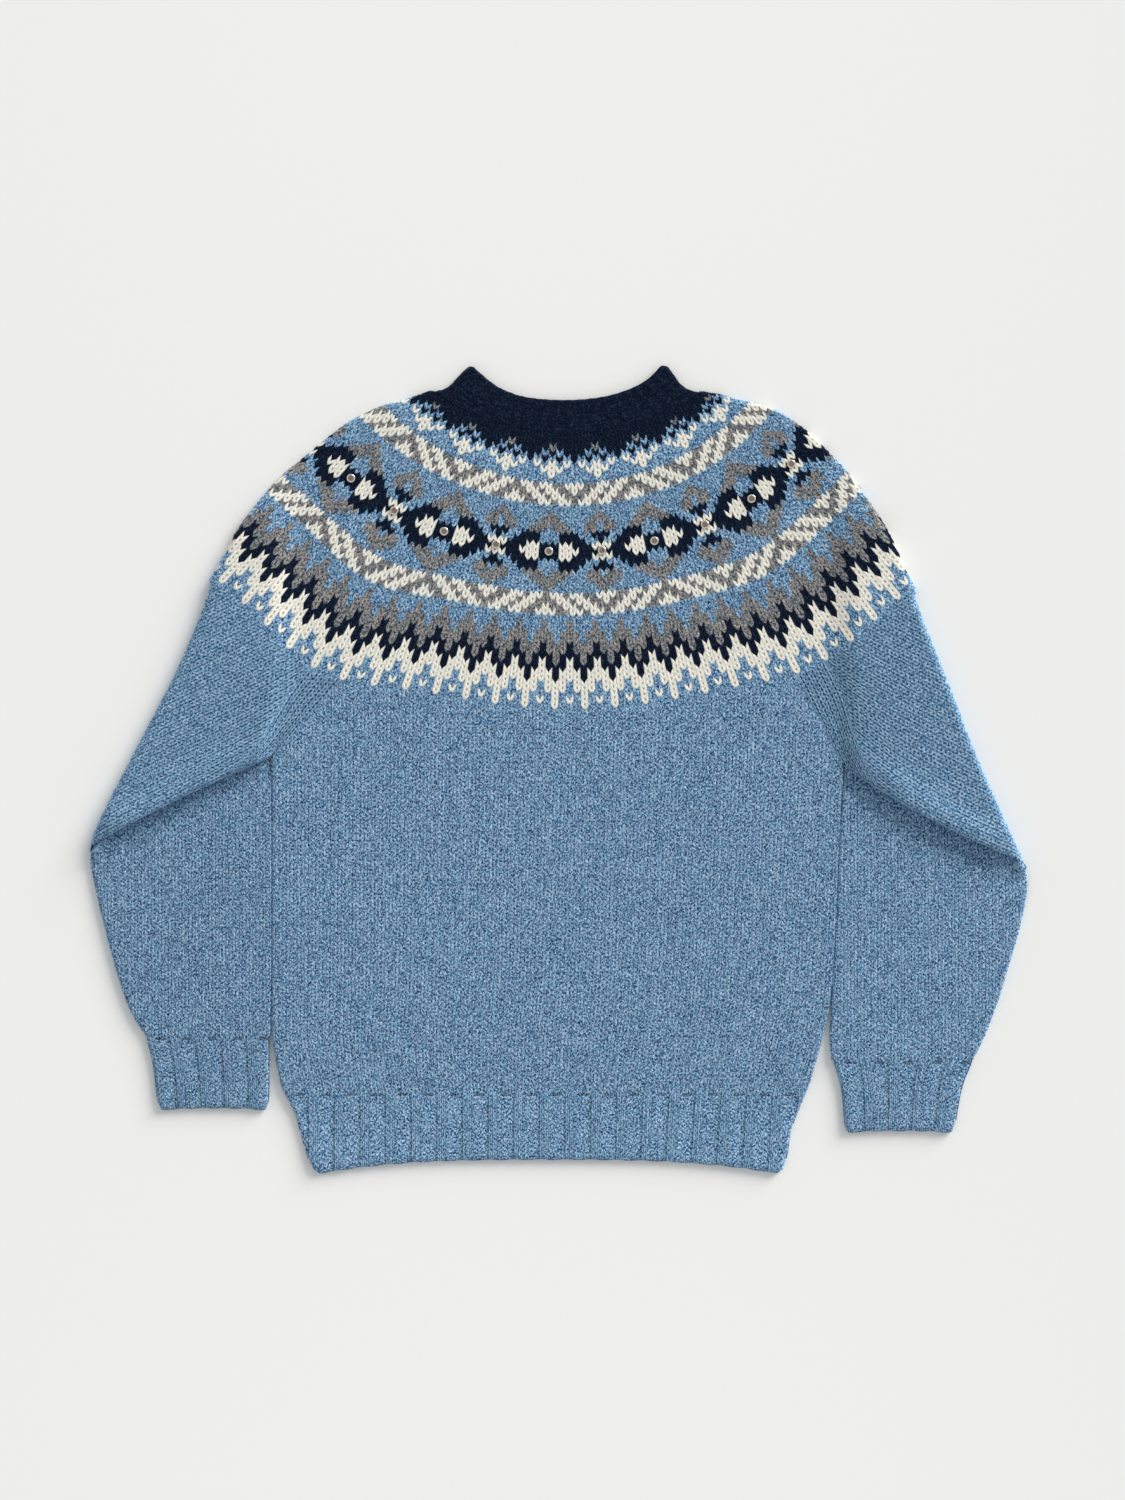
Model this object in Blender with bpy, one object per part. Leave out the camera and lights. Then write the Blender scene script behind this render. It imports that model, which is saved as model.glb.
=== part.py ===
"""A chunky yoke sweater lying flat on its front, back uppermost, with both sleeves folded under.

Every knitted piece is a wall of cloth lofted through sections: the back, the front, two
sleeves, the patterned yoke, the neckband, the hem rib and two cuffs, with ten studs set
along the yoke. Lengths in the tables are millimetres. +X is to the right of the back as
it is seen, +Y runs from the hem to the neck, and the floor is at z = 0. Left and right are
the wearer's, which is also how the back reads.
"""

import math
from collections import namedtuple

import bmesh
import bpy
from mathutils import Vector

MM = 0.001

# Cloth
WALL = 3.0
LAYER_GAP = 0.6
SEAM = 0.3
PAIR = 2 * WALL + LAYER_GAP
STACK = 2 * PAIR + LAYER_GAP
FOLD_ANGLES = (-45, 0, 45)
SEAM_TURN_ANGLES = (0, 30, 60)

# The yoke is a ring of rows around one centre, with angles taken from straight down
YOKE_CENTRE = Vector((10.8, 507.2))
NECK_SEAM_RADIUS = 202.5
YOKE_EDGE_RADIUS = 455.0
NECK_TOP_RADIUS = 176.0
FRONT_NECK_DROP = 8.0
YOKE_STEP_ANGLE = 2.58
BODY_STEPS = 10
RAGLAN_ANGLE = BODY_STEPS * YOKE_STEP_ANGLE
ARMHOLE_DIP = {-1: 19.0, 1: 13.0}
DIP_ANGLE = 28.0
DIP_SPREAD = 8.0
# Depth down the yoke, half width in degrees on the left and right, and how far a row
# strays outward at 40 degrees on the left and right
YOKE_ROWS = (
    (0.00, 37.0, 35.0, 4.0, 0.0),
    (0.08, 40.5, 41.0, -3.0, -8.0),
    (0.20, 44.2, 45.0, -4.0, -10.0),
    (0.40, 45.9, 46.3, 2.0, -6.5),
    (0.60, 47.0, 46.3, 4.0, -3.0),
    (0.80, 46.3, 44.9, 6.0, 2.0),
    (1.00, 44.4, 42.6, 8.0, 7.0),
)
YOKE_SECTIONS = (0.0, 0.08, 0.2, 0.4, 0.6, 0.8, 0.9, 1.0)
NECKBAND_TOP_HALF_WIDTH = {-1: 32.0, 1: 29.7}
NECKBAND_TIP_DROP = 7.0
NECKBAND_SECTIONS = (0.0, 0.4, 0.75, 1.0)
NECKBAND_RIBS = 22

# Height above the hem line, and the side edges of the body there
BODY_ROWS = (
    (-291.2, -247.5, 224.1),
    (-273.2, -253.0, 230.4),
    (-240.8, -258.3, 238.5),
    (-212.8, -258.3, 245.7),
    (-163.3, -258.3, 250.2),
    (-118.4, -258.3, 252.0),
    (-55.4, -258.3, 254.7),
    (-19.4, -258.3, 256.5),
)
ARMPIT = {-1: Vector((-257.4, 10.3)), 1: Vector((258.3, 0.5))}
RAGLAN_STEPS = 3
RAGLAN_SEAM_OFFSET = 0.45

# Hem rib: height, left edge, right edge
HEM_ROWS = (
    (-291.5, -247.5, 224.1),
    (-305.6, -239.4, 217.8),
    (-327.2, -232.2, 209.7),
    (-345.0, -228.2, 207.4),
    (-352.3, -221.0, 204.0),
)
HEM_CORNER_DROP = 11.6
HEM_RIBS = 18

# Sleeve below the fold: height and place of the outer edge, then of the inner edge
FOREARM_ROWS = {
    -1: (
        (-240.8, -371.7, -240.8, -259.8),
        (-219.2, -386.1, -216.0, -259.8),
        (-186.8, -397.4, -180.0, -259.8),
        (-154.3, -406.0, -140.0, -259.8),
        (-122.0, -414.0, -95.0, -259.8),
        (-95.0, -420.0, -45.0, -259.8),
        (-77.0, -422.6, 4.0, -259.8),
        (-30.0, -400.0, 28.0, -276.0),
    ),
    1: (
        (-262.4, 374.4, -262.4, 247.2),
        (-240.8, 385.2, -240.8, 245.6),
        (-208.3, 397.4, -205.0, 248.4),
        (-176.0, 407.0, -168.0, 251.6),
        (-143.6, 415.0, -130.0, 253.4),
        (-115.0, 420.5, -80.0, 255.6),
        (-94.0, 422.6, -8.0, 259.2),
        (-44.0, 398.0, 16.0, 276.0),
    ),
}
FOLD_CORNER = {-1: Vector((-422.6, -71.0)), 1: Vector((418.5, -84.0))}
UNDERARM_BOW = 4.0
LAYERED_EDGE = 20.0
SLOT_STEP = 0.5
SLEEVE_STEPS = 7
SLEEVE_COLUMNS = 7
FOLD_ROUND_ANGLES = (90, 62, 35, 10)
UNDERARM_ROUND_ANGLES = (10, 40, 90)
ARMHOLE_SPACE_START = -0.03
CUFF_OPENING_REACH = 5.0

# Where a folded sleeve lifts the layers above it: height, foot of the slope, its width
LIFT_ROWS = {
    -1: ((10.3, 257.4, 14.0), (62.0, 236.0, 26.0), (107.0, 230.0, 32.0)),
    1: ((0.5, 258.3, 14.0), (62.0, 244.0, 26.0), (107.0, 240.0, 32.0)),
}
LIFT_FADE_FROM = 200.0
LIFT_FADE_LENGTH = 70.0

# Cuff: height, outer edge, inner edge
CUFF_ROWS = {
    -1: (
        (-241.1, -371.5, -259.8),
        (-262.4, -365.4, -259.8),
        (-283.9, -362.7, -259.8),
        (-297.0, -361.0, -260.6),
        (-304.5, -357.5, -264.0),
    ),
    1: (
        (-262.7, 374.2, 247.4),
        (-283.9, 364.5, 254.7),
        (-305.6, 360.0, 257.4),
        (-321.8, 355.5, 259.2),
        (-330.0, 351.0, 262.8),
    ),
}
CUFF_RIBS = 5

# Share of a rib at each station across it, and the raised share between two of them
RIB_STATIONS = (0.06, 0.30, 0.42, 0.88)
RAISED_FROM = 0.36
RAISED_TO = 0.94
RIB_RISE = 0.8

STUD_COUNT = 10
STUD_RADIUS = 4.0
STUD_HEIGHT = 1.8
STUD_BEVEL = 1.0
STUD_SIDES = 12
STUD_ROW_DEPTH = 0.435
STUD_FIRST_ANGLE = -38.7
STUD_PITCH_ANGLE = 8.8

Finish = namedtuple("Finish", "colour metallic roughness")
BLUE_WOOL = Finish((0.13, 0.28, 0.47, 1.0), 0.0, 0.9)
NAVY_WOOL = Finish((0.010, 0.014, 0.035, 1.0), 0.0, 0.9)
STUD_METAL = Finish((0.75, 0.68, 0.62, 1.0), 1.0, 0.25)
SHARP_ANGLE = 40.0


def smooth(value):
    """Eases from 0 to 1 as the value does, and holds outside that."""
    value = min(max(value, 0.0), 1.0)
    return value * value * (3 - 2 * value)


def table(rows, key, column):
    """Reads a column of a table of rows, linear between its keys."""
    order = sorted(rows)
    if key <= order[0][0]:
        return order[0][column]
    for low, high in zip(order, order[1:]):
        if key <= high[0]:
            share = (key - low[0]) / (high[0] - low[0])
            return low[column] + share * (high[column] - low[column])
    return order[-1][column]


def side_of(value):
    return -1 if value < 0 else 1


def two_layers(x, y):
    """Height of the cloth where nothing is folded under it."""
    return PAIR


def layer_top(x, y):
    """Height of the uppermost cloth, which rises over a sleeve folded under."""
    rows = LIFT_ROWS[side_of(x)]
    rise = smooth((abs(x) - table(rows, y, 1)) / table(rows, y, 2))
    fade = 1 - smooth((y - LIFT_FADE_FROM) / LIFT_FADE_LENGTH)
    return PAIR + (STACK - PAIR) * rise * fade


def yoke_radius(depth, angle):
    """Radius of the row that lies at this depth down the yoke, at this angle."""
    side = side_of(angle)
    stray = table(YOKE_ROWS, depth, 3 if side < 0 else 4) * (angle / 40) ** 2
    dip = ARMHOLE_DIP[side] * math.exp(-(((abs(angle) - DIP_ANGLE) / DIP_SPREAD) ** 2))
    plain = NECK_SEAM_RADIUS + depth * (YOKE_EDGE_RADIUS - NECK_SEAM_RADIUS)
    return plain + stray + dip * smooth((depth - 0.2) / 0.8)


def polar(radius, angle):
    turn = math.radians(angle)
    return YOKE_CENTRE + radius * Vector((math.sin(turn), -math.cos(turn)))


def raglan_top(side):
    return polar(yoke_radius(1.0, side * RAGLAN_ANGLE) + SEAM, side * RAGLAN_ANGLE)


def finished_object(name, shape, finish):
    """An object with its own material, from a bmesh whose lengths are metres."""
    mesh = bpy.data.meshes.new(name)
    shape.to_mesh(mesh)
    shape.free()
    mesh.shade_smooth()
    mesh.set_sharp_from_angle(angle=math.radians(SHARP_ANGLE))
    material = bpy.data.materials.new(name)
    material.use_nodes = True
    surface = material.node_tree.nodes["Principled BSDF"]
    surface.inputs["Base Color"].default_value = finish.colour
    surface.inputs["Metallic"].default_value = finish.metallic
    surface.inputs["Roughness"].default_value = finish.roughness
    mesh.materials.append(material)
    return bpy.data.objects.new(name, mesh)


def lofted_object(name, points, faces, finish):
    """An object from the points of its sections, in millimetres, and the faces between them."""
    shape = bmesh.new()
    corners = [shape.verts.new(Vector(point) * MM) for point in points]
    for face in faces:
        shape.faces.new([corners[index] for index in face])
    bmesh.ops.remove_doubles(shape, verts=shape.verts, dist=0.00001)
    bmesh.ops.recalc_face_normals(shape, faces=shape.faces)
    return finished_object(name, shape, finish)


def quads_between(first, second, wraps):
    """Faces between two equal runs of point numbers."""
    count = len(first)
    last = count if wraps else count - 1
    return [
        (first[i], first[(i + 1) % count], second[(i + 1) % count], second[i])
        for i in range(last)
    ]


def wall_object(name, outer, inner, finish, wraps):
    """A wall of cloth between matching outer and inner sections."""
    count = len(outer[0])
    rows = len(outer)
    points = [point for section in outer + inner for point in section]
    number = [[r * count + c for c in range(count)] for r in range(2 * rows)]
    faces = []
    for r in range(rows - 1):
        faces += quads_between(number[r], number[r + 1], wraps)
        faces += quads_between(number[rows + r], number[rows + r + 1], wraps)
    faces += quads_between(number[0], number[rows], wraps)
    faces += quads_between(number[rows - 1], number[2 * rows - 1], wraps)
    if not wraps:
        for edge in (0, count - 1):
            outer_edge = [number[r][edge] for r in range(rows)]
            inner_edge = [number[rows + r][edge] for r in range(rows)]
            faces += quads_between(outer_edge, inner_edge, False)
    return lofted_object(name, points, faces, finish)


def capped_object(name, loops, finish):
    """A solid through closed sections, with a face over each end."""
    count = len(loops[0])
    points = [point for loop in loops for point in loop]
    number = [[r * count + c for c in range(count)] for r in range(len(loops))]
    faces = [tuple(number[0]), tuple(number[-1])]
    for first, second in zip(number, number[1:]):
        faces += quads_between(first, second, True)
    return lofted_object(name, points, faces, finish)


def flat_loop(top, bottom, length, shares, inset, low, high):
    """One closed section of a flattened tube: top, right fold, bottom, left fold.

    top and bottom give the plan point at a distance from the left fold, low and high the
    heights at a plan point, shares the stations across the top and across the bottom, and
    inset how far the straight part starts from each fold.
    """

    def runs(plan, stations, height):
        flat = length - sum(inset)
        spots = [plan(inset[0] + share * flat) for share in stations]
        return [(spot.x, spot.y, height(spot, share)) for spot, share in zip(spots, stations)]

    def fold(at_right):
        edge = top(length if at_right else 0.0)
        upper = high(edge, None)
        lower = low(edge, None)
        middle = (upper + lower) / 2
        radius = (upper - lower) / 2
        reach = inset[1] if at_right else inset[0]
        found = []
        for degrees in FOLD_ANGLES:
            turn = math.radians(degrees)
            distance = reach - min(radius, reach) * math.cos(turn)
            spot = top(length - distance if at_right else distance)
            found.append((spot.x, spot.y, middle + radius * math.sin(turn)))
        return found[::-1] if at_right else found

    upper_run = runs(top, shares[0], high)
    lower_run = runs(bottom, shares[1], low)
    return upper_run + fold(True) + lower_run[::-1] + fold(False)


def tube_section(top, bottom, length, shares, height, rise=None):
    """Outer and inner loops of a flattened tube, resting on the floor."""
    inset = [height(*top(end)) / 2 for end in (0.0, length)]

    def outer_high(spot, share):
        raised = rise(share) if rise and share is not None else 0.0
        return height(*spot) + raised

    outer = flat_loop(
        top, bottom, length, shares, inset, lambda spot, share: 0.0, outer_high
    )
    inner = flat_loop(
        top,
        bottom,
        length,
        shares,
        inset,
        lambda spot, share: height(*spot) - WALL - LAYER_GAP,
        lambda spot, share: height(*spot) - WALL,
    )
    return outer, inner


def even(count):
    return [i / count for i in range(count + 1)]


def rib_stations(ribs):
    """Stations that give every rib two low and two high points."""
    across = [(rib + station) / ribs for rib in range(ribs) for station in RIB_STATIONS]
    return [0.0] + across + [1.0]


def rib_rise(ribs):
    def rise(share):
        along = (share * ribs) % 1.0
        return RIB_RISE / 2 if RAISED_FROM < along < RAISED_TO else -RIB_RISE / 2

    return rise


def straight_tube(name, rows, ribs, finish, end_curve=0.0):
    """A flattened ribbed tube between straight sections, with a curved last edge."""
    shares = (rib_stations(ribs), even(6))
    outer = []
    inner = []
    for index, (y, first, last) in enumerate(rows):
        low, high = min(first, last), max(first, last)
        bow = end_curve if index == len(rows) - 1 else 0.0

        def plan(distance, y=y, low=low, high=high, bow=bow):
            across = 2 * distance / (high - low) - 1
            return Vector((low + distance, y - bow * across**4))

        outside, inside = tube_section(
            plan, plan, high - low, shares, two_layers, rib_rise(ribs)
        )
        outer.append(outside)
        inner.append(inside)
    return wall_object(name, outer, inner, finish, True)


def yoke_half_width(side):
    return YOKE_ROWS[-1][1 if side < 0 else 2]


def yoke_stations(depth, length):
    """Stations across a row: even angles over the body, then on to each shoulder.

    On the lowest row the stations fall on those of the back, front and sleeves.
    """
    left = -table(YOKE_ROWS, depth, 1)
    right = table(YOKE_ROWS, depth, 2)
    angles = [step * YOKE_STEP_ANGLE for step in range(-BODY_STEPS, BODY_STEPS + 1)]
    for side, half_width in ((-1, -left), (1, right)):
        lowest = yoke_half_width(side) - RAGLAN_ANGLE
        reach = half_width - RAGLAN_ANGLE
        spread = [(step + 1) * YOKE_STEP_ANGLE / lowest for step in range(SLEEVE_STEPS - 1)]
        angles += [side * (RAGLAN_ANGLE + share * reach) for share in spread]
    ends = [layer_top(*polar(yoke_radius(depth, end), end)) / 2 for end in (left, right)]
    flat = length - sum(ends)
    shares = [((angle - left) / (right - left) * length - ends[0]) / flat for angle in angles]
    return [0.0] + sorted(shares) + [1.0]


def yoke_plan(depth, drop):
    """Plan of one row of the yoke, as a function of the distance from its left fold."""
    left = -table(YOKE_ROWS, depth, 1)
    right = table(YOKE_ROWS, depth, 2)
    length = math.radians(right - left) * yoke_radius(depth, 0.0)

    def plan(distance):
        share = distance / length
        angle = left + share * (right - left)
        lower = drop * (1 - (2 * share - 1) ** 2)
        return polar(yoke_radius(depth, angle) + lower, angle)

    return plan, length


def yoke_object():
    outer = []
    inner = []
    for depth in YOKE_SECTIONS:
        top, length = yoke_plan(depth, 0.0)
        stations = yoke_stations(depth, length)
        shares = (stations, stations)
        bottom, _ = yoke_plan(depth, FRONT_NECK_DROP * (1 - depth))
        outside, inside = tube_section(top, bottom, length, shares, layer_top)
        outer.append(outside)
        inner.append(inside)
    return wall_object("yoke", outer, inner, BLUE_WOOL, True)


def neckband_object():
    """The ribbed neckband, from the yoke up to two points at the shoulders."""
    shares = (rib_stations(NECKBAND_RIBS), even(12))
    outer = []
    inner = []
    for climb in NECKBAND_SECTIONS:
        left = -YOKE_ROWS[0][1] + climb * (YOKE_ROWS[0][1] - NECKBAND_TOP_HALF_WIDTH[-1])
        right = YOKE_ROWS[0][2] - climb * (YOKE_ROWS[0][2] - NECKBAND_TOP_HALF_WIDTH[1])
        radius = NECK_SEAM_RADIUS + climb * (NECK_TOP_RADIUS - NECK_SEAM_RADIUS)
        length = math.radians(right - left) * radius

        def plan(distance, drop=0.0, climb=climb, left=left, right=right, length=length):
            share = distance / length
            angle = left + share * (right - left)
            seam = yoke_radius(0.0, angle) - SEAM
            top = NECK_TOP_RADIUS - NECKBAND_TIP_DROP * abs(2 * share - 1) ** 6
            lower = drop * (1 - (2 * share - 1) ** 2)
            return polar(seam + climb * (top - seam) + lower, angle)

        def front_plan(distance, plan=plan):
            return plan(distance, FRONT_NECK_DROP)

        outside, inside = tube_section(
            plan, front_plan, length, shares, two_layers, rib_rise(NECKBAND_RIBS)
        )
        outer.append(outside)
        inner.append(inside)
    return wall_object("neckband", outer, inner, NAVY_WOOL, True)


def body_rows():
    """Left end, right end, share of the yoke's curve and fold of each row of a body panel."""
    rows = [(Vector((left, y)), Vector((right, y)), 0.0, 1.0) for y, left, right in BODY_ROWS]
    for step in range(RAGLAN_STEPS + 1):
        share = step / RAGLAN_STEPS
        ends = [ARMPIT[side].lerp(raglan_top(side), share) for side in (-1, 1)]
        rows.append((ends[0], ends[1], share, 0.0))
    return rows


def body_panel(name, upper):
    """The back, or the front, which lies under it: a panel whose sides turn to the seam."""
    outer = []
    inner = []
    for left, right, curve, folded in body_rows():
        length = (right - left).length

        def plan(distance, left=left, right=right, curve=curve, length=length):
            share = distance / length
            straight = left.lerp(right, share)
            angle = RAGLAN_ANGLE * (2 * share - 1)
            yoke_edge = polar(yoke_radius(1.0, angle) + SEAM, angle)
            return straight + curve * (yoke_edge - raglan_top(-1).lerp(raglan_top(1), share))

        def edge(at_right, radius, level, folded=folded, plan=plan, length=length):
            """Points where the panel turns down to the side seam, or ends flat at a raglan."""
            found = []
            for degrees in SEAM_TURN_ANGLES:
                turn = math.radians(degrees)
                plain = PAIR / 2 * degrees / 90
                bent = PAIR / 2 - radius * math.cos(turn)
                distance = plain + folded * (bent - plain)
                spot = plan(length - distance if at_right else distance)
                bent_height = PAIR / 2 + SEAM / 2 + (radius - SEAM / 2) * math.sin(turn)
                found.append((*spot, level + folded * (bent_height - level)))
            return found[::-1] if at_right else found

        sections = []
        for radius, level in ((PAIR / 2, PAIR), (LAYER_GAP / 2, PAIR - WALL)):
            stations = [share * length for share in even(2 * BODY_STEPS)]
            stations[0] = PAIR / 2
            stations[-1] = length - PAIR / 2
            across = [(*plan(distance), level) for distance in stations]
            section = edge(False, radius, level) + across + edge(True, radius, level)
            if not upper:
                section = [(x, y, PAIR - z) for x, y, z in section]
            sections.append(section)
        outside, inside = sections
        outer.append(outside)
        inner.append(inside)
    return wall_object(name, outer, inner, BLUE_WOOL, False)


def upper_arm_spot(side, along, across):
    """Plan point of the upper arm, from the raglan line to the fold and out from the underarm."""
    aside = Vector((side * RAGLAN_SEAM_OFFSET, 0.0))
    start = ARMPIT[side] + aside
    underarm = start.lerp(FOLD_CORNER[side], along)
    underarm.y += UNDERARM_BOW * 4 * along * (1 - along)
    angle = side * (RAGLAN_ANGLE + along * (yoke_half_width(side) - RAGLAN_ANGLE))
    yoke_edge = polar(yoke_radius(1.0, angle) + SEAM, angle)
    if along <= 0:
        yoke_edge += aside
    length = (yoke_edge - underarm).length
    return underarm.lerp(yoke_edge, across / length), length


def rounded_steps(radius, elevations):
    """Distance in from a rounded edge and share of the full height, at each elevation."""
    turns = [math.radians(degrees) for degrees in elevations]
    return [(radius * (1 - math.cos(turn)), math.sin(turn)) for turn in turns]


def upper_arm_rows(side):
    """How far along the arm each row lies, with its corner on a corner of the yoke's edge."""
    reach = yoke_half_width(side) - RAGLAN_ANGLE
    return [step * YOKE_STEP_ANGLE / reach for step in range(SLEEVE_STEPS)]


def columns_across(length, first, extra):
    """Distances from the underarm to the yoke, past the part that lies as its own layer."""
    start = LAYERED_EDGE + SLOT_STEP
    reach = length + extra - start
    return first + [(start + share * reach, False, 1.0) for share in even(SLEEVE_COLUMNS)]


def upper_arm_grid(side):
    """Upper and lower points of the upper arm.

    The lower side rests on the floor, except along the underarm, where the arm lies as a
    separate layer over the forearm that is folded beneath it.
    """
    rows = [(along, 0.0, 1.0) for along in upper_arm_rows(side)]
    fold = rounded_steps(STACK / 2, FOLD_ROUND_ANGLES)
    rows += [(1.0, inward, share) for inward, share in fold]
    underarm = rounded_steps(PAIR / 2, UNDERARM_ROUND_ANGLES)
    edge = [(inward, True, share) for inward, share in underarm]
    edge.append((LAYERED_EDGE - SLOT_STEP, True, 1.0))
    upper = []
    lower = []
    for along, inward, height_share in rows:
        _, length = upper_arm_spot(side, along, 0.0)
        top_row = []
        low_row = []
        for across, layered, edge_share in columns_across(length, edge, 0.0):
            spot, _ = upper_arm_spot(side, along, across)
            if inward:
                last_row = upper_arm_rows(side)[-1]
                _, inner_length = upper_arm_spot(side, last_row, 0.0)
                nearer, _ = upper_arm_spot(side, last_row, across * inner_length / length)
                spot = spot + (nearer - spot).normalized() * inward
            top = layer_top(*spot)
            floor = top - PAIR if layered else 0.0
            middle = (top + floor) / 2
            half = (top - floor) / 2 * height_share * edge_share
            top_row.append((*spot, middle + half))
            low_row.append((*spot, middle - half))
        upper.append(top_row)
        lower.append(low_row)
    return upper, lower


def armhole_space_grid(side):
    """Upper and lower points of the thin space inside the upper arm."""
    fold_inset = STACK / (FOLD_CORNER[side] - ARMPIT[side]).length
    rows = [ARMHOLE_SPACE_START] + upper_arm_rows(side)[1:] + [1.0 - fold_inset]
    upper = []
    lower = []
    for along in rows:
        _, length = upper_arm_spot(side, along, 0.0)
        edge = [(WALL + PAIR / 2, False, 1.0)]
        spots = [
            upper_arm_spot(side, along, across)[0]
            for across, _, _ in columns_across(length, edge, WALL)
        ]
        upper.append([(*spot, layer_top(*spot) - WALL) for spot in spots])
        lower.append([(*spot, layer_top(*spot) - WALL - LAYER_GAP) for spot in spots])
    return upper, lower


def forearm_loops(side, inside):
    """Closed sections of the forearm, outside or inside its wall."""
    shares = (even(8), even(8))
    loops = []
    for outer_y, outer_x, inner_y, inner_x in FOREARM_ROWS[side]:
        ends = sorted([Vector((outer_x, outer_y)), Vector((inner_x, inner_y))], key=lambda v: v.x)
        length = (ends[1] - ends[0]).length

        def plan(distance, ends=ends, length=length):
            return ends[0].lerp(ends[1], distance / length)

        low = WALL if inside else 0.0
        high = PAIR - WALL if inside else PAIR
        inset = (PAIR / 2, PAIR / 2)
        loops.append(
            flat_loop(
                plan,
                plan,
                length,
                shares,
                inset,
                lambda spot, share, low=low: low,
                lambda spot, share, high=high: high,
            )
        )
    if inside:
        first = [(x, y - CUFF_OPENING_REACH, z) for x, y, z in loops[0]]
        loops = [first] + loops[:-2]
    return loops


def helper(obj, cutters):
    obj.hide_render = True
    obj.display_type = "WIRE"
    cutters.objects.link(obj)
    return obj


def join(target, other, operation):
    modifier = target.modifiers.new(f"{operation.lower()}_{other.name}", "BOOLEAN")
    modifier.operation = operation
    modifier.solver = "EXACT"
    modifier.object = other


def sleeve_object(side, cutters):
    """Upper arm folded over the forearm, open at the armhole and at the cuff."""
    label = "left" if side < 0 else "right"
    upper, lower = upper_arm_grid(side)
    sleeve = wall_object(f"sleeve_{label}", upper, lower, BLUE_WOOL, False)
    forearm = capped_object(f"forearm_{label}", forearm_loops(side, False), BLUE_WOOL)
    space = capped_object(f"forearm_space_{label}", forearm_loops(side, True), BLUE_WOOL)
    upper, lower = armhole_space_grid(side)
    pocket = wall_object(f"armhole_space_{label}", upper, lower, BLUE_WOOL, False)
    join(sleeve, helper(forearm, cutters), "UNION")
    join(sleeve, helper(space, cutters), "DIFFERENCE")
    join(sleeve, helper(pocket, cutters), "DIFFERENCE")
    return sleeve


def stud_objects():
    """Flat-faced round studs in a row round the yoke, each lying just clear of the cloth."""
    shape = bmesh.new()
    bmesh.ops.create_cone(
        shape,
        cap_ends=True,
        segments=STUD_SIDES,
        radius1=STUD_RADIUS * MM,
        radius2=STUD_RADIUS * MM,
        depth=STUD_HEIGHT * MM,
    )
    rim = [edge for edge in shape.edges if all(corner.co.z > 0 for corner in edge.verts)]
    bmesh.ops.bevel(
        shape,
        geom=rim,
        offset=STUD_BEVEL * MM,
        segments=1,
        profile=0.5,
        affect="EDGES",
        material=-1,
    )
    first = finished_object("stud_01", shape, STUD_METAL)
    found = [first]
    for index in range(1, STUD_COUNT):
        found.append(bpy.data.objects.new(f"stud_{index + 1:02d}", first.data))
    for index, stud in enumerate(found):
        angle = STUD_FIRST_ANGLE + index * STUD_PITCH_ANGLE
        place = polar(yoke_radius(STUD_ROW_DEPTH, angle), angle)
        middle = layer_top(*place) + SEAM + STUD_HEIGHT / 2
        stud.location = Vector((*place, middle)) * MM
    return found


def main():
    for obj in list(bpy.data.objects):
        bpy.data.objects.remove(obj)
    sweater = bpy.data.collections.new("fair_isle_sweater")
    cutters = bpy.data.collections.new("cutters")
    for collection in (sweater, cutters):
        bpy.context.scene.collection.children.link(collection)
    pieces = [
        body_panel("back", True),
        body_panel("front", False),
        yoke_object(),
        neckband_object(),
        straight_tube("hem_rib", HEM_ROWS, HEM_RIBS, BLUE_WOOL, HEM_CORNER_DROP),
    ]
    for side, label in ((-1, "left"), (1, "right")):
        pieces.append(sleeve_object(side, cutters))
        pieces.append(straight_tube(f"cuff_{label}", CUFF_ROWS[side], CUFF_RIBS, BLUE_WOOL))
    for piece in pieces + stud_objects():
        sweater.objects.link(piece)


main()
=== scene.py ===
"""The look of a chunky yoke sweater that lies flat, back uppermost, with its sleeves folded under.

Every knitted piece is a grid of stitches, a few faces to each, that is laid in the plan of
the sweater, turned round its folds and raised stitch by stitch. Lengths are millimetres
until a piece is finished, and angles on the yoke are degrees from straight down.
"""

import math

import bmesh
import bpy
import numpy as np
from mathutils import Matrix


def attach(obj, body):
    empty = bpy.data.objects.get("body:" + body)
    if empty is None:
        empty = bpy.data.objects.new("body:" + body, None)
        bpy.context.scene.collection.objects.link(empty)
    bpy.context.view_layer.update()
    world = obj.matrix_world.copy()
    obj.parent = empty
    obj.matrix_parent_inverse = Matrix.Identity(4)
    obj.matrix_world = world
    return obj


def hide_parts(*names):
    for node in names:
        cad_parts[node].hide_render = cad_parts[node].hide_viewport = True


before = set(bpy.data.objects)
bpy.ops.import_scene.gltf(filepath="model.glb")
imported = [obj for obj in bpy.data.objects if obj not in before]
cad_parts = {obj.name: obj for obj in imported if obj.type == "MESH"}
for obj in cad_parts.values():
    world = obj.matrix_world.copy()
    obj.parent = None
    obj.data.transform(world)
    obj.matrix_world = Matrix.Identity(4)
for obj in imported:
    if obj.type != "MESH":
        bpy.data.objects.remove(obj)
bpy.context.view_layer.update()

MM = 0.001
PHOTO_HEIGHT = 1500
PIXEL = 0.9
PHOTO_CENTRE = (4.05, 16.65)
CAMERA_HEIGHT = 3500.0
SENSOR = 36.0

# Height of two layers of cloth and of four, and the radius of a fold of two
PAIR = 6.6
STACK = 13.8
FOLD = PAIR / 2
# Rows and stitches of the body and the sleeves, and the faces across and up a stitch
ROW_HEIGHT = 4.4
SLEEVE_STITCH = 6.07
SLEEVE_ROW = 4.18
FINE = (4, 3)
COARSE = (2, 1)
# How steep the V of a stitch is, in rows, and how high its legs stand
SLANT = 0.9
RELIEF = 0.95
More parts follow.
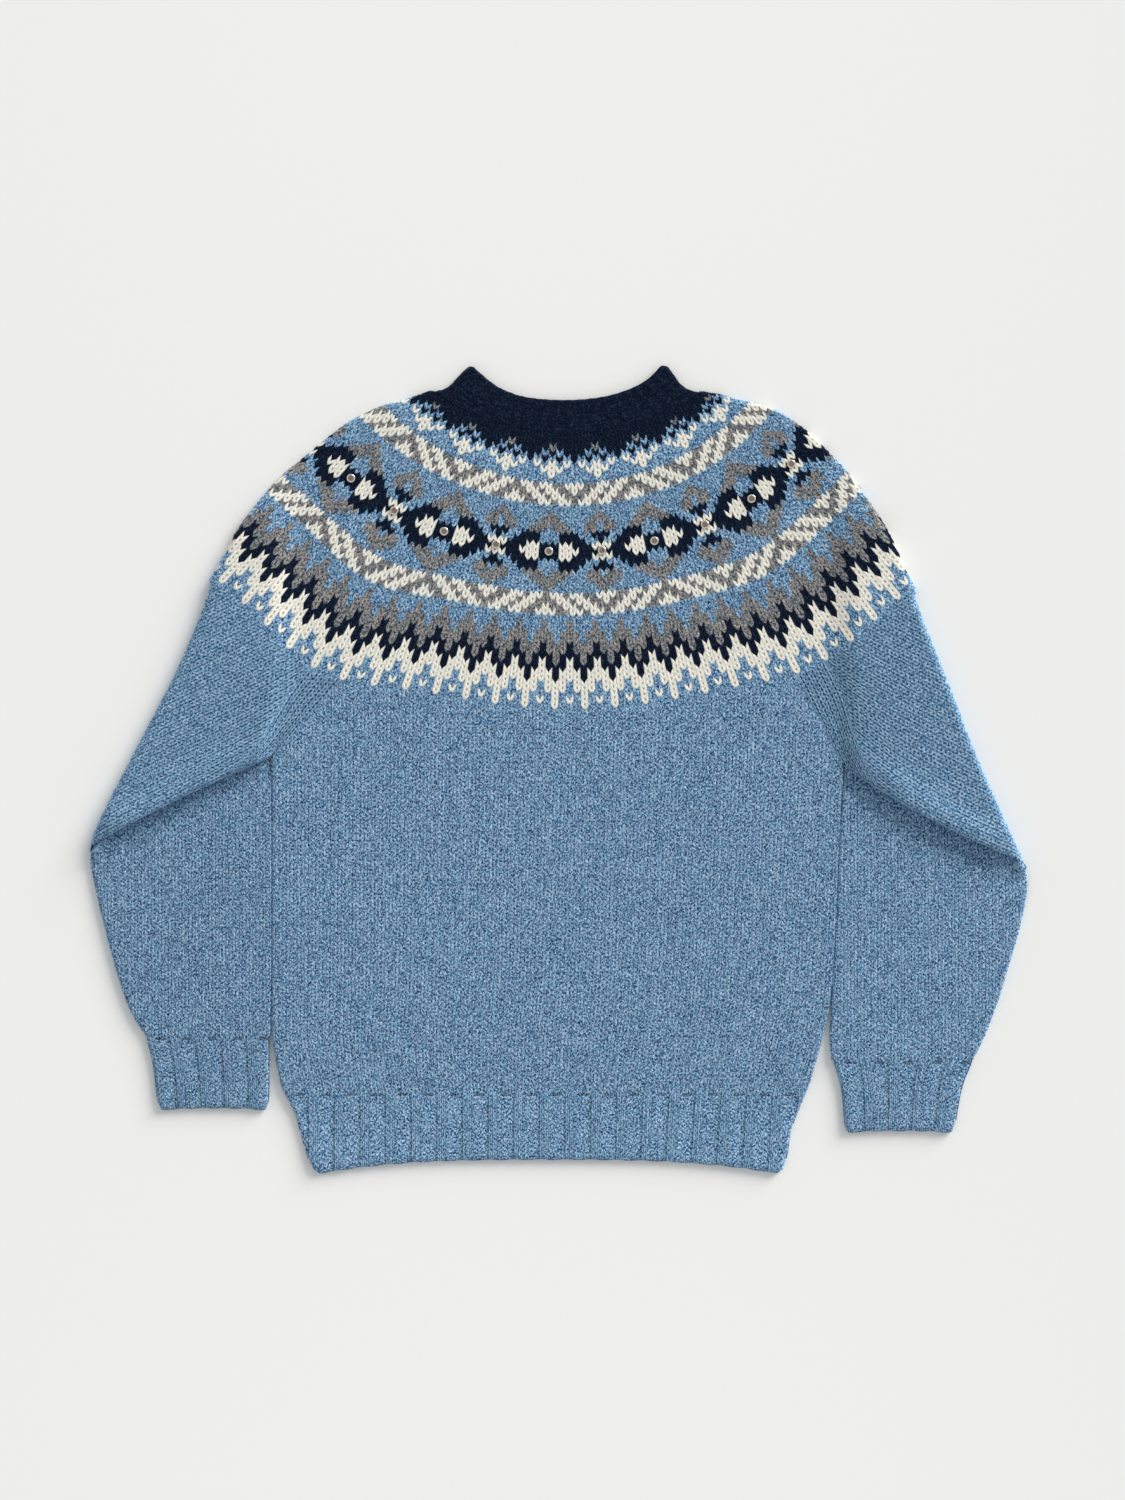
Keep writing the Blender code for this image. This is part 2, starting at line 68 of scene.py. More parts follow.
# Beside the raglan the sleeve's columns turn and run along it
RAGLAN_COLUMNS = 5
RAGLAN_STITCH = 5.7
DRAWN_WALES = 12.0
DRAWN_WIDTH = 40.0
# The crease under the arm dies out towards the elbow, and the cloth below it sinks
CREASE_SPREAD = 18.0
CREASE_SINK = 4.2
CREASE_NARROW = 0.2
SINK_SPREAD = 34.0
SINK_FADE = 40.0
# The folded arm bulges above the crease, less towards the elbow and the raglan
BULGE = 7.5
BULGE_START = 6.0
BULGE_WIDTH = 16.0
BULGE_FADE = 36.0
# Cloth turned below this lies inside another layer and isn't kept
FLOOR_DROP = -0.15
# How far round an outer fold goes, on to the flat underside. Other sides end a little past
# upright, where the cloth of the underside meets them
UNDERLAP = math.pi + 0.8
SIDE_LAP = math.pi / 2 + 0.3
BAND_LAP = math.pi / 2 + 0.4
# Folds of single cloth lie flatter than round
SIDE_NARROW = 0.6
# The underside's own cloth begins this share of a fold's radius in from its line
UNDERSIDE_INSET = 0.7

# The yoke's rows lie round one centre
YOKE_CENTRE = (10.8, 507.2)
NECK_SEAM_RADIUS = 202.5
YOKE_EDGE_RADIUS = 455.0
YOKE_LENGTH = YOKE_EDGE_RADIUS - NECK_SEAM_RADIUS
NECK_TOP_RADIUS = 176.0
NECKBAND_TIP_DROP = 7.0
# The front's neck edge is lower than the back's, between the tips of the neckband
FRONT_NECK_DROP = 8.0
BRIM_CENTRE = 8.0
BRIM_HALF_WIDTH = 78.0
# Where the yoke's first row begins, and the height of a row
YOKE_ROWS_TOP = 201.5
YOKE_ROW = 4.932
# Outside this angle no neckband lies over the yoke's upper edge
SHOULDER_ANGLE = 31.0
RAGLAN_ANGLE = 25.8
ARMHOLE_DIP = {-1: 19.0, 1: 13.0}
DIP_ANGLE = 28.0
DIP_SPREAD = 8.0
# Depth down the yoke, half width in degrees on the left and right, and how far a row
# strays outward at 40 degrees on the left and right
YOKE_SECTIONS = np.array((
    (0.00, 36.0, 34.2, 4.0, 0.0),
    (0.04, 38.1, 36.7, 0.5, -4.0),
    (0.08, 39.0, 38.3, -3.0, -8.0),
    (0.11, 40.1, 39.4, -3.3, -8.5),
    (0.15, 41.6, 40.9, -3.6, -9.2),
    (0.20, 43.7, 42.9, -4.0, -10.0),
    (0.25, 44.6, 44.7, -2.5, -9.1),
    (0.30, 45.8, 45.8, -1.0, -8.2),
    (0.40, 46.4, 46.6, 2.0, -6.5),
    (0.60, 47.0, 46.3, 4.0, -3.0),
    (0.80, 46.0, 44.5, 6.0, 2.0),
    (1.00, 43.9, 42.0, 8.0, 7.0),
))
# Half width of the neckband in degrees, at its seam and at its top
NECKBAND_HALF_WIDTH = {-1: (37.0, 32.0), 1: (35.0, 29.7)}

# Height above the hem line, and the side edges of the body there
BODY_ROWS = np.array((
    (-291.2, -247.5, 224.1),
    (-273.2, -253.0, 230.4),
    (-240.8, -258.3, 238.5),
    (-212.8, -258.3, 245.7),
    (-163.3, -258.3, 250.2),
    (-118.4, -258.3, 252.0),
    (-55.4, -258.3, 254.7),
    (-19.4, -258.3, 256.5),
    (60.0, -258.3, 259.5),
))
ARMPIT = {-1: (-257.4, 10.3), 1: (258.3, 0.5)}
FOLD_CORNER = {-1: (-422.6, -71.0), 1: (418.5, -84.0)}
UNDERARM_BOW = {-1: 3.0, 1: -6.0}
# Outer edge of the upper arm, from under the yoke down to the elbow
ARM_OUTER = {
    -1: ((-306.0, 186.0), (-311.9, 169.6), (-318.6, 148.1), (-327.0, 126.5), (-336.0, 104.9),
         (-345.9, 83.3), (-357.2, 61.7), (-368.4, 40.1), (-380.0, 18.5), (-391.0, -3.2),
         (-402.8, -24.8), (-412.6, -46.4), (-420.0, -62.0), (-424.0, -90.0)),
    1: ((312.0, 184.0), (317.7, 169.6), (324.0, 148.1), (332.1, 126.5), (341.1, 104.9),
        (349.2, 83.3), (358.2, 61.7), (365.9, 40.1), (374.6, 18.5), (383.6, -3.2),
        (393.2, -24.8), (402.8, -46.4), (412.0, -68.0), (417.6, -79.0), (426.0, -98.0)),
}
# Upper outline of the neckband, from the left shoulder round the brim to the right one
NECKBAND_OUTLINE = (
    (-150.0, 335.0), (-124.0, 338.6), (-111.4, 340.0), (-105.1, 341.3), (-100.5, 342.8),
    (-97.1, 345.1), (-92.5, 350.3), (-86.7, 356.6), (-82.0, 361.0), (-78.6, 363.4),
    (-73.5, 360.0), (-65.7, 353.3), (-59.4, 348.0), (-51.3, 342.5), (-34.2, 335.8),
    (-16.2, 333.2), (6.3, 332.4), (28.8, 333.9), (46.8, 337.0), (60.3, 342.2),
    (70.2, 346.8), (81.0, 354.0), (87.3, 359.5), (91.7, 362.9), (99.0, 363.1),
    (101.7, 358.3), (106.2, 352.7), (110.0, 346.1), (114.4, 342.7), (120.7, 340.2),
    (127.0, 339.0), (136.5, 339.0), (165.0, 337.0),
)
# Hem rib: height, left edge, right edge
HEM_ROWS = np.array((
    (-291.5, -247.5, 224.1),
    (-305.6, -239.4, 217.8),
    (-327.2, -232.2, 209.7),
    (-345.0, -228.2, 207.4),
    (-352.3, -221.0, 204.0),
))
# How far the corners of the ribbed bands hang below the middle
HEM_CORNER_DROP = 13.8
CUFF_CORNER_DROP = 2.2
# Where the hem's first column begins, and the width of a rib
HEM_COLUMNS = (-270.5, 23.08)
# Sleeve below the fold: height and place of the outer edge
FOREARM_OUTER = {
    -1: ((-240.8, -371.7), (-219.2, -386.1), (-186.8, -397.4), (-154.3, -406.0),
         (-122.0, -414.0), (-95.0, -420.0), (-77.0, -422.6), (-30.0, -400.0)),
    1: ((-262.4, 374.4), (-240.8, 385.2), (-208.3, 397.4), (-176.0, 407.0),
        (-143.6, 416.6), (-115.0, 422.6), (-94.0, 424.6), (-44.0, 400.0)),
}
FOREARM_INNER = {
    -1: ((-240.8, -258.9), (-140.0, -258.7), (8.0, -258.7), (20.0, -259.5), (40.0, -276.0)),
    1: ((-262.4, 246.6), (-240.8, 244.0), (-205.0, 247.2), (-168.0, 250.8),
        (-130.0, 252.4), (-80.0, 254.4), (-8.0, 257.6), (10.0, 259.0), (30.0, 276.0)),
}
# Cuff: height, outer edge, inner edge
CUFF_ROWS = {
    -1: np.array(((-241.1, -371.5, -259.8), (-262.4, -365.4, -259.8), (-283.9, -362.7, -259.8),
                  (-299.0, -361.4, -260.0), (-306.0, -359.0, -261.4))),
    1: np.array(((-262.7, 374.2, 247.4), (-283.9, 364.5, 254.7), (-305.6, 360.4, 257.0),
                 (-319.5, 358.6, 257.4), (-326.4, 356.6, 259.2))),
}
# Where a folded sleeve lifts the layers above it: height, foot of the slope, its width
LIFT_ROWS = {
    -1: np.array(((10.3, 257.4, 14.0), (62.0, 236.0, 26.0), (107.0, 230.0, 32.0))),
    1: np.array(((0.5, 258.3, 14.0), (62.0, 244.0, 26.0), (107.0, 240.0, 32.0))),
}
LIFT_FADE_FROM = 200.0
LIFT_FADE_LENGTH = 70.0
# Stands for the distance of cloth that has no seam near it
CLEAR = 10.0

STUD_COUNT = 10
STUD_RADIUS = 4.0
STUD_ROW_DEPTH = 0.435
STUD_FIRST_ANGLE = -38.7
STUD_PITCH_ANGLE = 8.8
# Share of the radius and height in millimetres, from the middle of the face to the foot
STUD_PROFILE = (
    (0.0, 1.55), (0.45, 1.56), (0.62, 1.60), (0.70, 1.72), (0.80, 1.80),
    (0.90, 1.66), (0.97, 1.30), (1.0, 0.9), (0.98, 0.3), (0.9, 0.0),
)
# How far a stud stands off the cloth, and where the painted highlight on its rim begins
STUD_SEAT = 0.2
STUD_HIGHLIGHT_FROM = 0.6
STUD_HIGHLIGHT_SPREAD = 0.15

# Yarn colours, linear, with the strength of their flecks in the last place
BODY_BLUE = (0.181, 0.322, 0.482, 1.0)
YARNS = {
    ".": (0.184, 0.332, 0.498, 1.0),
    "W": (0.87, 0.85, 0.76, 0.16),
    "N": (0.0045, 0.0098, 0.0255, 0.62),
    "G": (0.216, 0.222, 0.222, 0.85),
}
VIOLET_FIBRE = (0.21, 0.19, 0.32, 1.0)
DARK_FIBRE = (0.022, 0.05, 0.10, 1.0)
# How light each part of the blue cloth is, and how deep the painted shade in the knit's hollows is
ARM_TONE = 0.96
# The right forearm and cuff are lighter and the left ones darker: painted light and shade, as lit
# from the right
FOREARM_PAINTED_LIGHT = {-1: 0.96, 1: 1.04}
CUFF_PAINTED_LIGHT = {-1: 0.97, 1: 1.04}
HEM_TONE = 1.08
PAINTED_SHADE_DEPTH = 0.8


def toned(amount):
    """The body's yarn, a little lighter or darker."""
    return [channel * amount for channel in BODY_BLUE[:3]] + [BODY_BLUE[3]]


def smooth(value):
    """Eases from 0 to 1 as the value does, and holds outside that."""
    value = np.clip(value, 0.0, 1.0)
    return value * value * (3 - 2 * value)


def layer_top(x, y):
    """Height of the uppermost cloth, which rises over a sleeve folded under."""
    height = np.full_like(x, PAIR)
    for side in (-1, 1):
        rows = LIFT_ROWS[side]
        foot = np.interp(y, rows[:, 0], rows[:, 1])
        width = np.interp(y, rows[:, 0], rows[:, 2])
        rise = smooth((side * x - foot) / width)
        fade = 1 - smooth((y - LIFT_FADE_FROM) / LIFT_FADE_LENGTH)
        height = height + (STACK - PAIR) * rise * fade
    return height


def yoke_radius(depth, angle):
    """Radius of the row that lies at this depth down the yoke, at this angle."""
    left = angle < 0
    keys = YOKE_SECTIONS[:, 0]
    stray = np.where(
        left,
        np.interp(depth, keys, YOKE_SECTIONS[:, 3]),
        np.interp(depth, keys, YOKE_SECTIONS[:, 4]),
    )
    dip = np.where(left, ARMHOLE_DIP[-1], ARMHOLE_DIP[1])
    dip = dip * np.exp(-(((np.abs(angle) - DIP_ANGLE) / DIP_SPREAD) ** 2))
    plain = NECK_SEAM_RADIUS + depth * YOKE_LENGTH
    return plain + stray * (angle / 40) ** 2 + dip * smooth((depth - 0.2) / 0.8)


def polar(radius, angle):
    """The place at a radius and an angle on the yoke."""
    turn = np.radians(angle)
    return YOKE_CENTRE[0] + radius * np.sin(turn), YOKE_CENTRE[1] - radius * np.cos(turn)


def below_yoke(x, y):
    """How far a point lies below the yoke's lower edge."""
    radius = np.hypot(x - YOKE_CENTRE[0], y - YOKE_CENTRE[1])
    angle = np.degrees(np.arctan2(x - YOKE_CENTRE[0], YOKE_CENTRE[1] - y))
    return radius - yoke_radius(1.0, np.clip(angle, -50, 50))


def raglan_top(side):
    """Where the raglan meets the yoke."""
    x, y = polar(yoke_radius(1.0, np.float64(side * RAGLAN_ANGLE)), side * RAGLAN_ANGLE)
    return float(x), float(y)


def rounded(points, times=2):
    """Cuts the corners of a line, and keeps its ends."""
    points = np.array(points, float)
    for _ in range(times):
        near = 0.75 * points[:-1] + 0.25 * points[1:]
        far = 0.25 * points[:-1] + 0.75 * points[1:]
        middle = np.stack([near, far], axis=1).reshape(-1, 2)
        points = np.concatenate([points[:1], middle, points[-1:]])
    return points


def line_distance(x, y, line):
    """Nearest points on a line, its left-hand normals there, and the distances to that side."""
    points = np.stack([x, y], axis=1)
    line = np.asarray(line, float)
    step = np.diff(line, axis=0)
    length = np.hypot(step[:, 0], step[:, 1])
    normal = np.stack([-step[:, 1], step[:, 0]], axis=1) / length[:, None]
    corner = np.concatenate([normal[:1], normal[:-1] + normal[1:], normal[-1:]])
    corner /= np.hypot(corner[:, 0], corner[:, 1])[:, None]
    best = np.full(len(points), np.inf)
    spot = np.zeros_like(points)
    facing = np.zeros_like(points)
    for index in range(len(step)):
        along = (points - line[index]) @ step[index] / length[index] ** 2
        share = np.clip(along, 0, 1)[:, None]
        here = line[index] + share * step[index]
        away = np.hypot(*(points - here).T)
        nearer = away < best
        best[nearer] = away[nearer]
        spot[nearer] = here[nearer]
        turned = corner[index] + share * (corner[index + 1] - corner[index])
        facing[nearer] = turned[nearer]
    facing /= np.hypot(facing[:, 0], facing[:, 1])[:, None]
    return spot, facing, ((points - spot) * facing).sum(axis=1)


def beyond_line(x, y, line):
    """How far each point lies past a line, on the line's left."""
    return line_distance(x, y, line)[2]


def linked(name, data):
    """A new object in the scene."""
    obj = bpy.data.objects.new(name, data)
    bpy.context.scene.collection.objects.link(obj)
    return obj


def plain_knit(u, v):
    """Height of plain knitting: two rounded legs to a stitch."""
    leg = np.abs(np.sin(2 * np.pi * u))
    along = v % 1.0
    return leg * (0.3 + 0.7 * np.sin(np.pi * np.clip(along * 1.15, 0, 1)) ** 0.8)


class Patch:
    """A grid of stitches that is laid on the sweater point by point."""

    def __init__(self, name, stitches, rows, fine=FINE):
        shape = bmesh.new()
        bmesh.ops.create_grid(
            shape,
            x_segments=stitches * fine[0],
            y_segments=rows * fine[1],
            size=0.5,
        )
        self.mesh = bpy.data.meshes.new(name)
        shape.to_mesh(self.mesh)
        shape.free()
        count = len(self.mesh.vertices)
        flat = np.empty(count * 3, np.float32)
        self.mesh.vertices.foreach_get("co", flat)
        flat = flat.reshape(-1, 3).astype(float)
        self.u = (flat[:, 0] + 0.5) * stitches
        self.v = (flat[:, 1] + 0.5) * rows
        corners = np.empty(len(self.mesh.loops), np.int32)
        self.mesh.loops.foreach_get("vertex_index", corners)
        self.corners = corners
        self.stitch = self.u[corners].reshape(-1, 4).mean(axis=1)
        self.row = self.v[corners].reshape(-1, 4).mean(axis=1)
        self.up = np.zeros((count, 3))
        self.up[:, 2] = 1.0
        self.turn = np.zeros(count)
        self.dropped = np.zeros(count, bool)
        self.flip = False
        self.drawn = np.zeros(count)
        self.purl = np.zeros(count)

    def slanted(self):
        """Row coordinate of each point, with the rows bent to the V of each stitch."""
        return self.v + SLANT * (np.abs(2 * (self.u % 1.0) - 1) - 0.5)

    def lay(self, x, y, z):
        """Lays the patch at these places and heights."""
        self.x, self.y, self.z = x, y, z

    def fold(self, line, radius, most=math.pi, narrow=1.0):
        """Turns the cloth down and under along a line, with the cloth on its left.

        The radius is that of the height; across the line it is narrowed by the given share.
        """
        spot, facing, distance = line_distance(self.x, self.y, line)
        radius = np.broadcast_to(radius, self.x.shape)
        across = radius * narrow
        turn = (across - distance) / (radius + across) * 2
        bent = turn > 0
        turn = np.where(bent, turn, 0.0)
        self.dropped |= turn > most
        level = np.maximum(turn - math.pi, 0) * (radius + across) / 2
        turn = np.minimum(turn, math.pi)
        inward = across * (1 - np.sin(turn)) + level
        self.x = np.where(bent, spot[:, 0] + facing[:, 0] * inward, self.x)
        self.y = np.where(bent, spot[:, 1] + facing[:, 1] * inward, self.y)
        self.z = self.z - radius * (1 - np.cos(turn))
        slope = np.hypot(np.sin(turn), narrow * np.cos(turn))
        sideways = np.sin(turn) / slope
        out = np.stack(
            [-facing[:, 0] * sideways, -facing[:, 1] * sideways, narrow * np.cos(turn) / slope], 1
        )
        self.up = np.where(bent[:, None], out, self.up)
        self.turn = np.maximum(self.turn, turn)

    def tuck(self, beyond, start, end, depth, keep=-5.0):
        """Lowers the cloth across a seam, and drops what lies too far past it."""
        self.z = self.z - depth * smooth((start - beyond) / (start - end))
        self.dropped |= beyond < keep

    def raised(self, height):
        """Lifts the stitches off the cloth, so that at a fold their tops lie on the outline."""
        height = height - height.max() * np.sin(self.turn) ** 2
        lowest = np.minimum(self.z, 0.0)
        self.x = self.x + self.up[:, 0] * height
        self.y = self.y + self.up[:, 1] * height
        self.z = np.maximum(self.z + self.up[:, 2] * height, lowest)

    def knitted(self, amount=1.0, lift=0.0):
        """Raises plain stitches on the patch."""
        self.raised(amount * RELIEF * (plain_knit(self.u, self.v) - 0.5) + lift)

    def turned_over(self, height=PAIR):
        """Mirrors the patch to the underside."""
        self.z = height - self.z
        self.flip = True

    def finished(self, colours):
        """The patch as an object, with its stitch coordinates and yarn colours."""
        mesh = self.mesh
        place = np.stack([self.x, self.y, self.z], axis=1) * MM
        mesh.vertices.foreach_set("co", place.astype(np.float32).ravel())
        layer = mesh.uv_layers.new(name="stitches")
        spot = np.stack([self.u, self.v], axis=1)[self.corners]
        layer.uv.foreach_set("vector", spot.astype(np.float32).ravel())
        yarn = mesh.color_attributes.new("yarn", "FLOAT_COLOR", "CORNER")
        colours = np.broadcast_to(np.asarray(colours, float), (len(mesh.polygons), 4))
        yarn.data.foreach_set("color", np.repeat(colours, 4, axis=0).astype(np.float32).ravel())
        # How drawn and how purl each point is, and how far it is turned round a fold, which the
        # shader uses for painted light on turned edges
        fabric = mesh.attributes.new("fabric", "FLOAT_VECTOR", "POINT")
        turned = smooth(self.turn / (math.pi / 2))
        kinds = np.stack([self.drawn, self.purl, turned], axis=1)
        fabric.data.foreach_set("vector", kinds.astype(np.float32).ravel())
        shape = bmesh.new()
        shape.from_mesh(mesh)
        lost = self.dropped | (self.z < FLOOR_DROP)
        gone = [face for face in shape.faces if any(lost[corner.index] for corner in face.verts)]
        bmesh.ops.delete(shape, geom=gone, context="FACES")
        if self.flip:
            bmesh.ops.reverse_faces(shape, faces=shape.faces)
        shape.to_mesh(mesh)
        shape.free()
        return linked(mesh.name, mesh)


def joined(name, patches, material):
    """One object from several patches."""
    first = patches[0]
    if len(patches) > 1:
        with bpy.context.temp_override(
            active_object=first, object=first, selected_editable_objects=patches
        ):
            bpy.ops.object.join()
    first.name = name
    first.data.name = name
    first.data.shade_smooth()
    first.data.materials.clear()
    first.data.materials.append(material)
    return first


def dress(piece, nodes):
    """Puts a knitted piece in place of its solids."""
    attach(piece, "root")
    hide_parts(*nodes)
    return piece


# Shader helpers


def node(tree, kind, inputs=(), **settings):
    """A shader node with its settings and inputs; an input may be a value or a socket."""
    made = tree.nodes.new(kind)
    for name, value in settings.items():
        setattr(made, name, value)
    for key, value in dict(inputs).items():
        socket = made.inputs[key]
        if isinstance(value, bpy.types.NodeSocket):
            tree.links.new(value, socket)
        else:
            socket.default_value = value
    return made


def maths(tree, operation, first, second=0.0, third=0.0):
    """The result of a Math node."""
    made = node(tree, "ShaderNodeMath", {0: first, 1: second, 2: third}, operation=operation)
    return made.outputs[0]


def times(tree, first, second):
    return maths(tree, "MULTIPLY", first, second)


def times_add(tree, first, second, third):
    return maths(tree, "MULTIPLY_ADD", first, second, third)


def blended(tree, factor, first, second, blend="MIX"):
    """Two colours mixed by a factor."""
    made = node(tree, "ShaderNodeMix", data_type="RGBA", blend_type=blend)
    for key, value in ((0, factor), (6, first), (7, second)):
        if isinstance(value, bpy.types.NodeSocket):
            tree.links.new(value, made.inputs[key])
        else:
            made.inputs[key].default_value = value
    return made.outputs[2]


def new_group(name, inputs, outputs):
    """An empty shader group with the nodes for what goes in and comes out."""
    group = bpy.data.node_groups.new(name, "ShaderNodeTree")
    for label, kind, value in inputs:
        socket = group.interface.new_socket(label, in_out="INPUT", socket_type=kind)
        if value is not None:
            socket.default_value = value
    for label, kind in outputs:
        group.interface.new_socket(label, in_out="OUTPUT", socket_type=kind)
    return group, node(group, "NodeGroupInput"), node(group, "NodeGroupOutput")


def ranged(tree, value, low, high, to_low=0.0, to_high=1.0):
    """A value eased from one range into another."""
    made = node(
        tree,
        "ShaderNodeMapRange",
        {0: value, 1: low, 2: high, 3: to_low, 4: to_high},
        interpolation_type="SMOOTHSTEP",
    )
    return made.outputs[0]


def noise(tree, vector, scale, detail, flat=False):
    """Soft noise, in three dimensions unless it is flat."""
    made = node(
        tree,
        "ShaderNodeTexNoise",
        {"Vector": vector, "Scale": scale, "Detail": detail, "Roughness": 0.6},
        noise_dimensions="2D" if flat else "3D",
    )
    return made.outputs[0]


def stitch_hollows(tree, column, row, drawn, purl):
    """Where shade is painted in a knit: in the V of a stitch, between legs, dashes, and in ribbing.
    """
    knit = maths(tree, "SUBTRACT", 1.0, purl)
    from_side = maths(tree, "PINGPONG", column, 0.5)
    from_row = maths(tree, "PINGPONG", row, 0.5)
    centre = ranged(tree, from_side, 0.31, 0.47)
    crotch = times(tree, centre, ranged(tree, from_row, 0.36, 0.06))
    crotch = times(tree, crotch, knit)
    groove = times(tree, ranged(tree, from_side, 0.2, 0.02), knit)
    dashed = times(tree, groove, ranged(tree, from_row, 0.42, 0.12))
    dashed = times(tree, dashed, drawn)
    wave = maths(tree, "COSINE", times(tree, column, 2 * math.pi))
    ridge = maths(tree, "PINGPONG", times_add(tree, wave, 0.45, row), 0.5)
    valley = times(tree, ranged(tree, ridge, 0.25, 0.45), purl)
    border = times(tree, times(tree, purl, knit), 4.0)
    return crotch, groove, dashed, valley, border


def painted_hollow_shade(tree, hollows, drawn, depth):
    """Painted shade: how light the yarn is, between 1 on a leg and little in a hollow."""
    crotch, groove, dashed, valley, border = hollows
    shade = times(tree, crotch, times_add(tree, drawn, 0.35, 0.85))
    shade = times_add(tree, groove, times_add(tree, drawn, 0.25, 0.25), shade)
    for hollow, strength in ((dashed, 0.9), (valley, 0.5), (border, 0.3)):
        shade = times_add(tree, hollow, strength, shade)
    shade = times(tree, shade, depth)
    return maths(tree, "MAXIMUM", maths(tree, "SUBTRACT", 1.0, shade), 0.05)


def leg_noise(tree, column, row):
    """A random value for each leg of each stitch."""
    legs = times(tree, column, 2.0)
    cell = node(
        tree,
        "ShaderNodeCombineXYZ",
        {0: maths(tree, "FLOOR", legs), 1: maths(tree, "FLOOR", row)},
    )
    made = node(
        tree, "ShaderNodeTexWhiteNoise", {"Vector": cell.outputs[0]}, noise_dimensions="2D"
    )
    return made.outputs[0]


def fleck_tone(tree, fibre, speck, leg, drawn, fleck):
    """How much lighter or darker than its mean the yarn is, by fibre, speck and leg."""
    tone = times(tree, ranged(tree, fibre, 0.34, 0.66, -1.0, 1.0), 0.34)
    tone = times_add(tree, ranged(tree, speck, 0.34, 0.66, -1.0, 1.0), 0.46, tone)
    leg_tone = maths(tree, "SUBTRACT", times(tree, leg, 2.0), 1.0)
    tone = times_add(tree, leg_tone, 0.16, tone)
    return times(tree, tone, times(tree, times_add(tree, drawn, -0.45, 1.0), fleck))


def fibre_colour(tree, yarn, fleck, speck, tuft):
    """The yarn's colour with vivid, violet and dark fibres spun in."""
    bright = ranged(tree, fleck, 0.7, 0.85)
    vivid = times(tree, ranged(tree, tuft, 0.44, 0.3, 0.0, 0.45), fleck)
    violet = times(tree, ranged(tree, tuft, 0.56, 0.7, 0.0, 0.4), bright)
    dark = maths(tree, "SUBTRACT", times(tree, fleck, 1.6), times(tree, bright, 9.0))
    dark = times(tree, ranged(tree, speck, 0.52, 0.72, 0.0, 0.3), dark)
    full = node(
        tree, "ShaderNodeHueSaturation", {"Saturation": 1.25, "Value": 1.0, "Color": yarn}
    )
    colour = blended(tree, vivid, yarn, full.outputs[0])
    colour = blended(tree, violet, colour, VIOLET_FIBRE)
    return blended(tree, dark, colour, DARK_FIBRE)


def yarn_height(tree, column, row, fibre, speck, hollows):
    """Fine height of the twisted plies and fibres."""
    across = times(tree, maths(tree, "PINGPONG", column, 0.5), 4.0)
    twist = times_add(tree, row, 3.0, across)
    height = times(tree, maths(tree, "SINE", times(tree, twist, 2 * math.pi)), 0.1)
    crotch, _, _, valley, _ = hollows
    for part, strength in ((fibre, 0.5), (speck, 0.5), (crotch, -0.5), (valley, -0.5)):
        height = times_add(tree, part, strength, height)
    return height


def heathered_yarn():
    """Flecks of lighter, darker and violet fibre in a yarn, painted shade in its hollows and
    between its legs, and painted light where it turns round a fold.
    """
    tree, given, out = new_group(
        "heathered_yarn",
        (
            ("Yarn", "NodeSocketColor", None),
            ("Fleck", "NodeSocketFloat", 1.0),
            ("Depth", "NodeSocketFloat", PAINTED_SHADE_DEPTH),
            ("Stitch", "NodeSocketVector", None),
            ("Place", "NodeSocketVector", None),
            ("Fabric", "NodeSocketVector", None),
        ),
        (("Colour", "NodeSocketColor"), ("Height", "NodeSocketFloat")),
    )
    fleck = given.outputs["Fleck"]
    stitch = given.outputs["Stitch"]
    place = given.outputs["Place"]
    kinds = node(tree, "ShaderNodeSeparateXYZ", {0: given.outputs["Fabric"]})
    drawn = kinds.outputs[0]
    purl = kinds.outputs[1]
    turned = kinds.outputs[2]
    parts = node(tree, "ShaderNodeSeparateXYZ", {0: stitch})
    column = parts.outputs[0]
    row = parts.outputs[1]
    drawn_out = node(
        tree, "ShaderNodeVectorMath", {0: stitch, 1: (5.0, 2.2, 1.0)}, operation="MULTIPLY"
    )
    fibre = noise(tree, drawn_out.outputs[0], 1.0, 2.0, flat=True)
    speck = noise(tree, place, 640.0, 1.0)
    tuft = noise(tree, place, 380.0, 1.0)
    tone = fleck_tone(tree, fibre, speck, leg_noise(tree, column, row), drawn, fleck)
    hollows = stitch_hollows(tree, column, row, drawn, purl)
    # Painted shade, darker in the knit's hollows
    shade = painted_hollow_shade(tree, hollows, drawn, given.outputs["Depth"])
    # Painted light: cloth turned round a fold is made lighter, more so in flecked yarn
    painted_edge_light = times(tree, turned, times(tree, fleck, 0.6))
    shade = times(tree, shade, maths(tree, "ADD", painted_edge_light, 1.0))
    shade = times(tree, shade, times_add(tree, drawn, 0.24, 1.0))
    tints = []
    for share in (1.95, 1.38, 1.03):
        tint = maths(tree, "MAXIMUM", times_add(tree, tone, share, 1.0), 0.1)
        tints.append(times(tree, tint, shade))
    cast = node(tree, "ShaderNodeCombineXYZ", dict(enumerate(tints)))
    colour = fibre_colour(tree, given.outputs["Yarn"], fleck, speck, tuft)
    colour = blended(tree, 1.0, colour, cast.outputs[0], "MULTIPLY")
    height = yarn_height(tree, column, row, fibre, speck, hollows)
    tree.links.new(colour, out.inputs["Colour"])
    tree.links.new(height, out.inputs["Height"])
    return tree


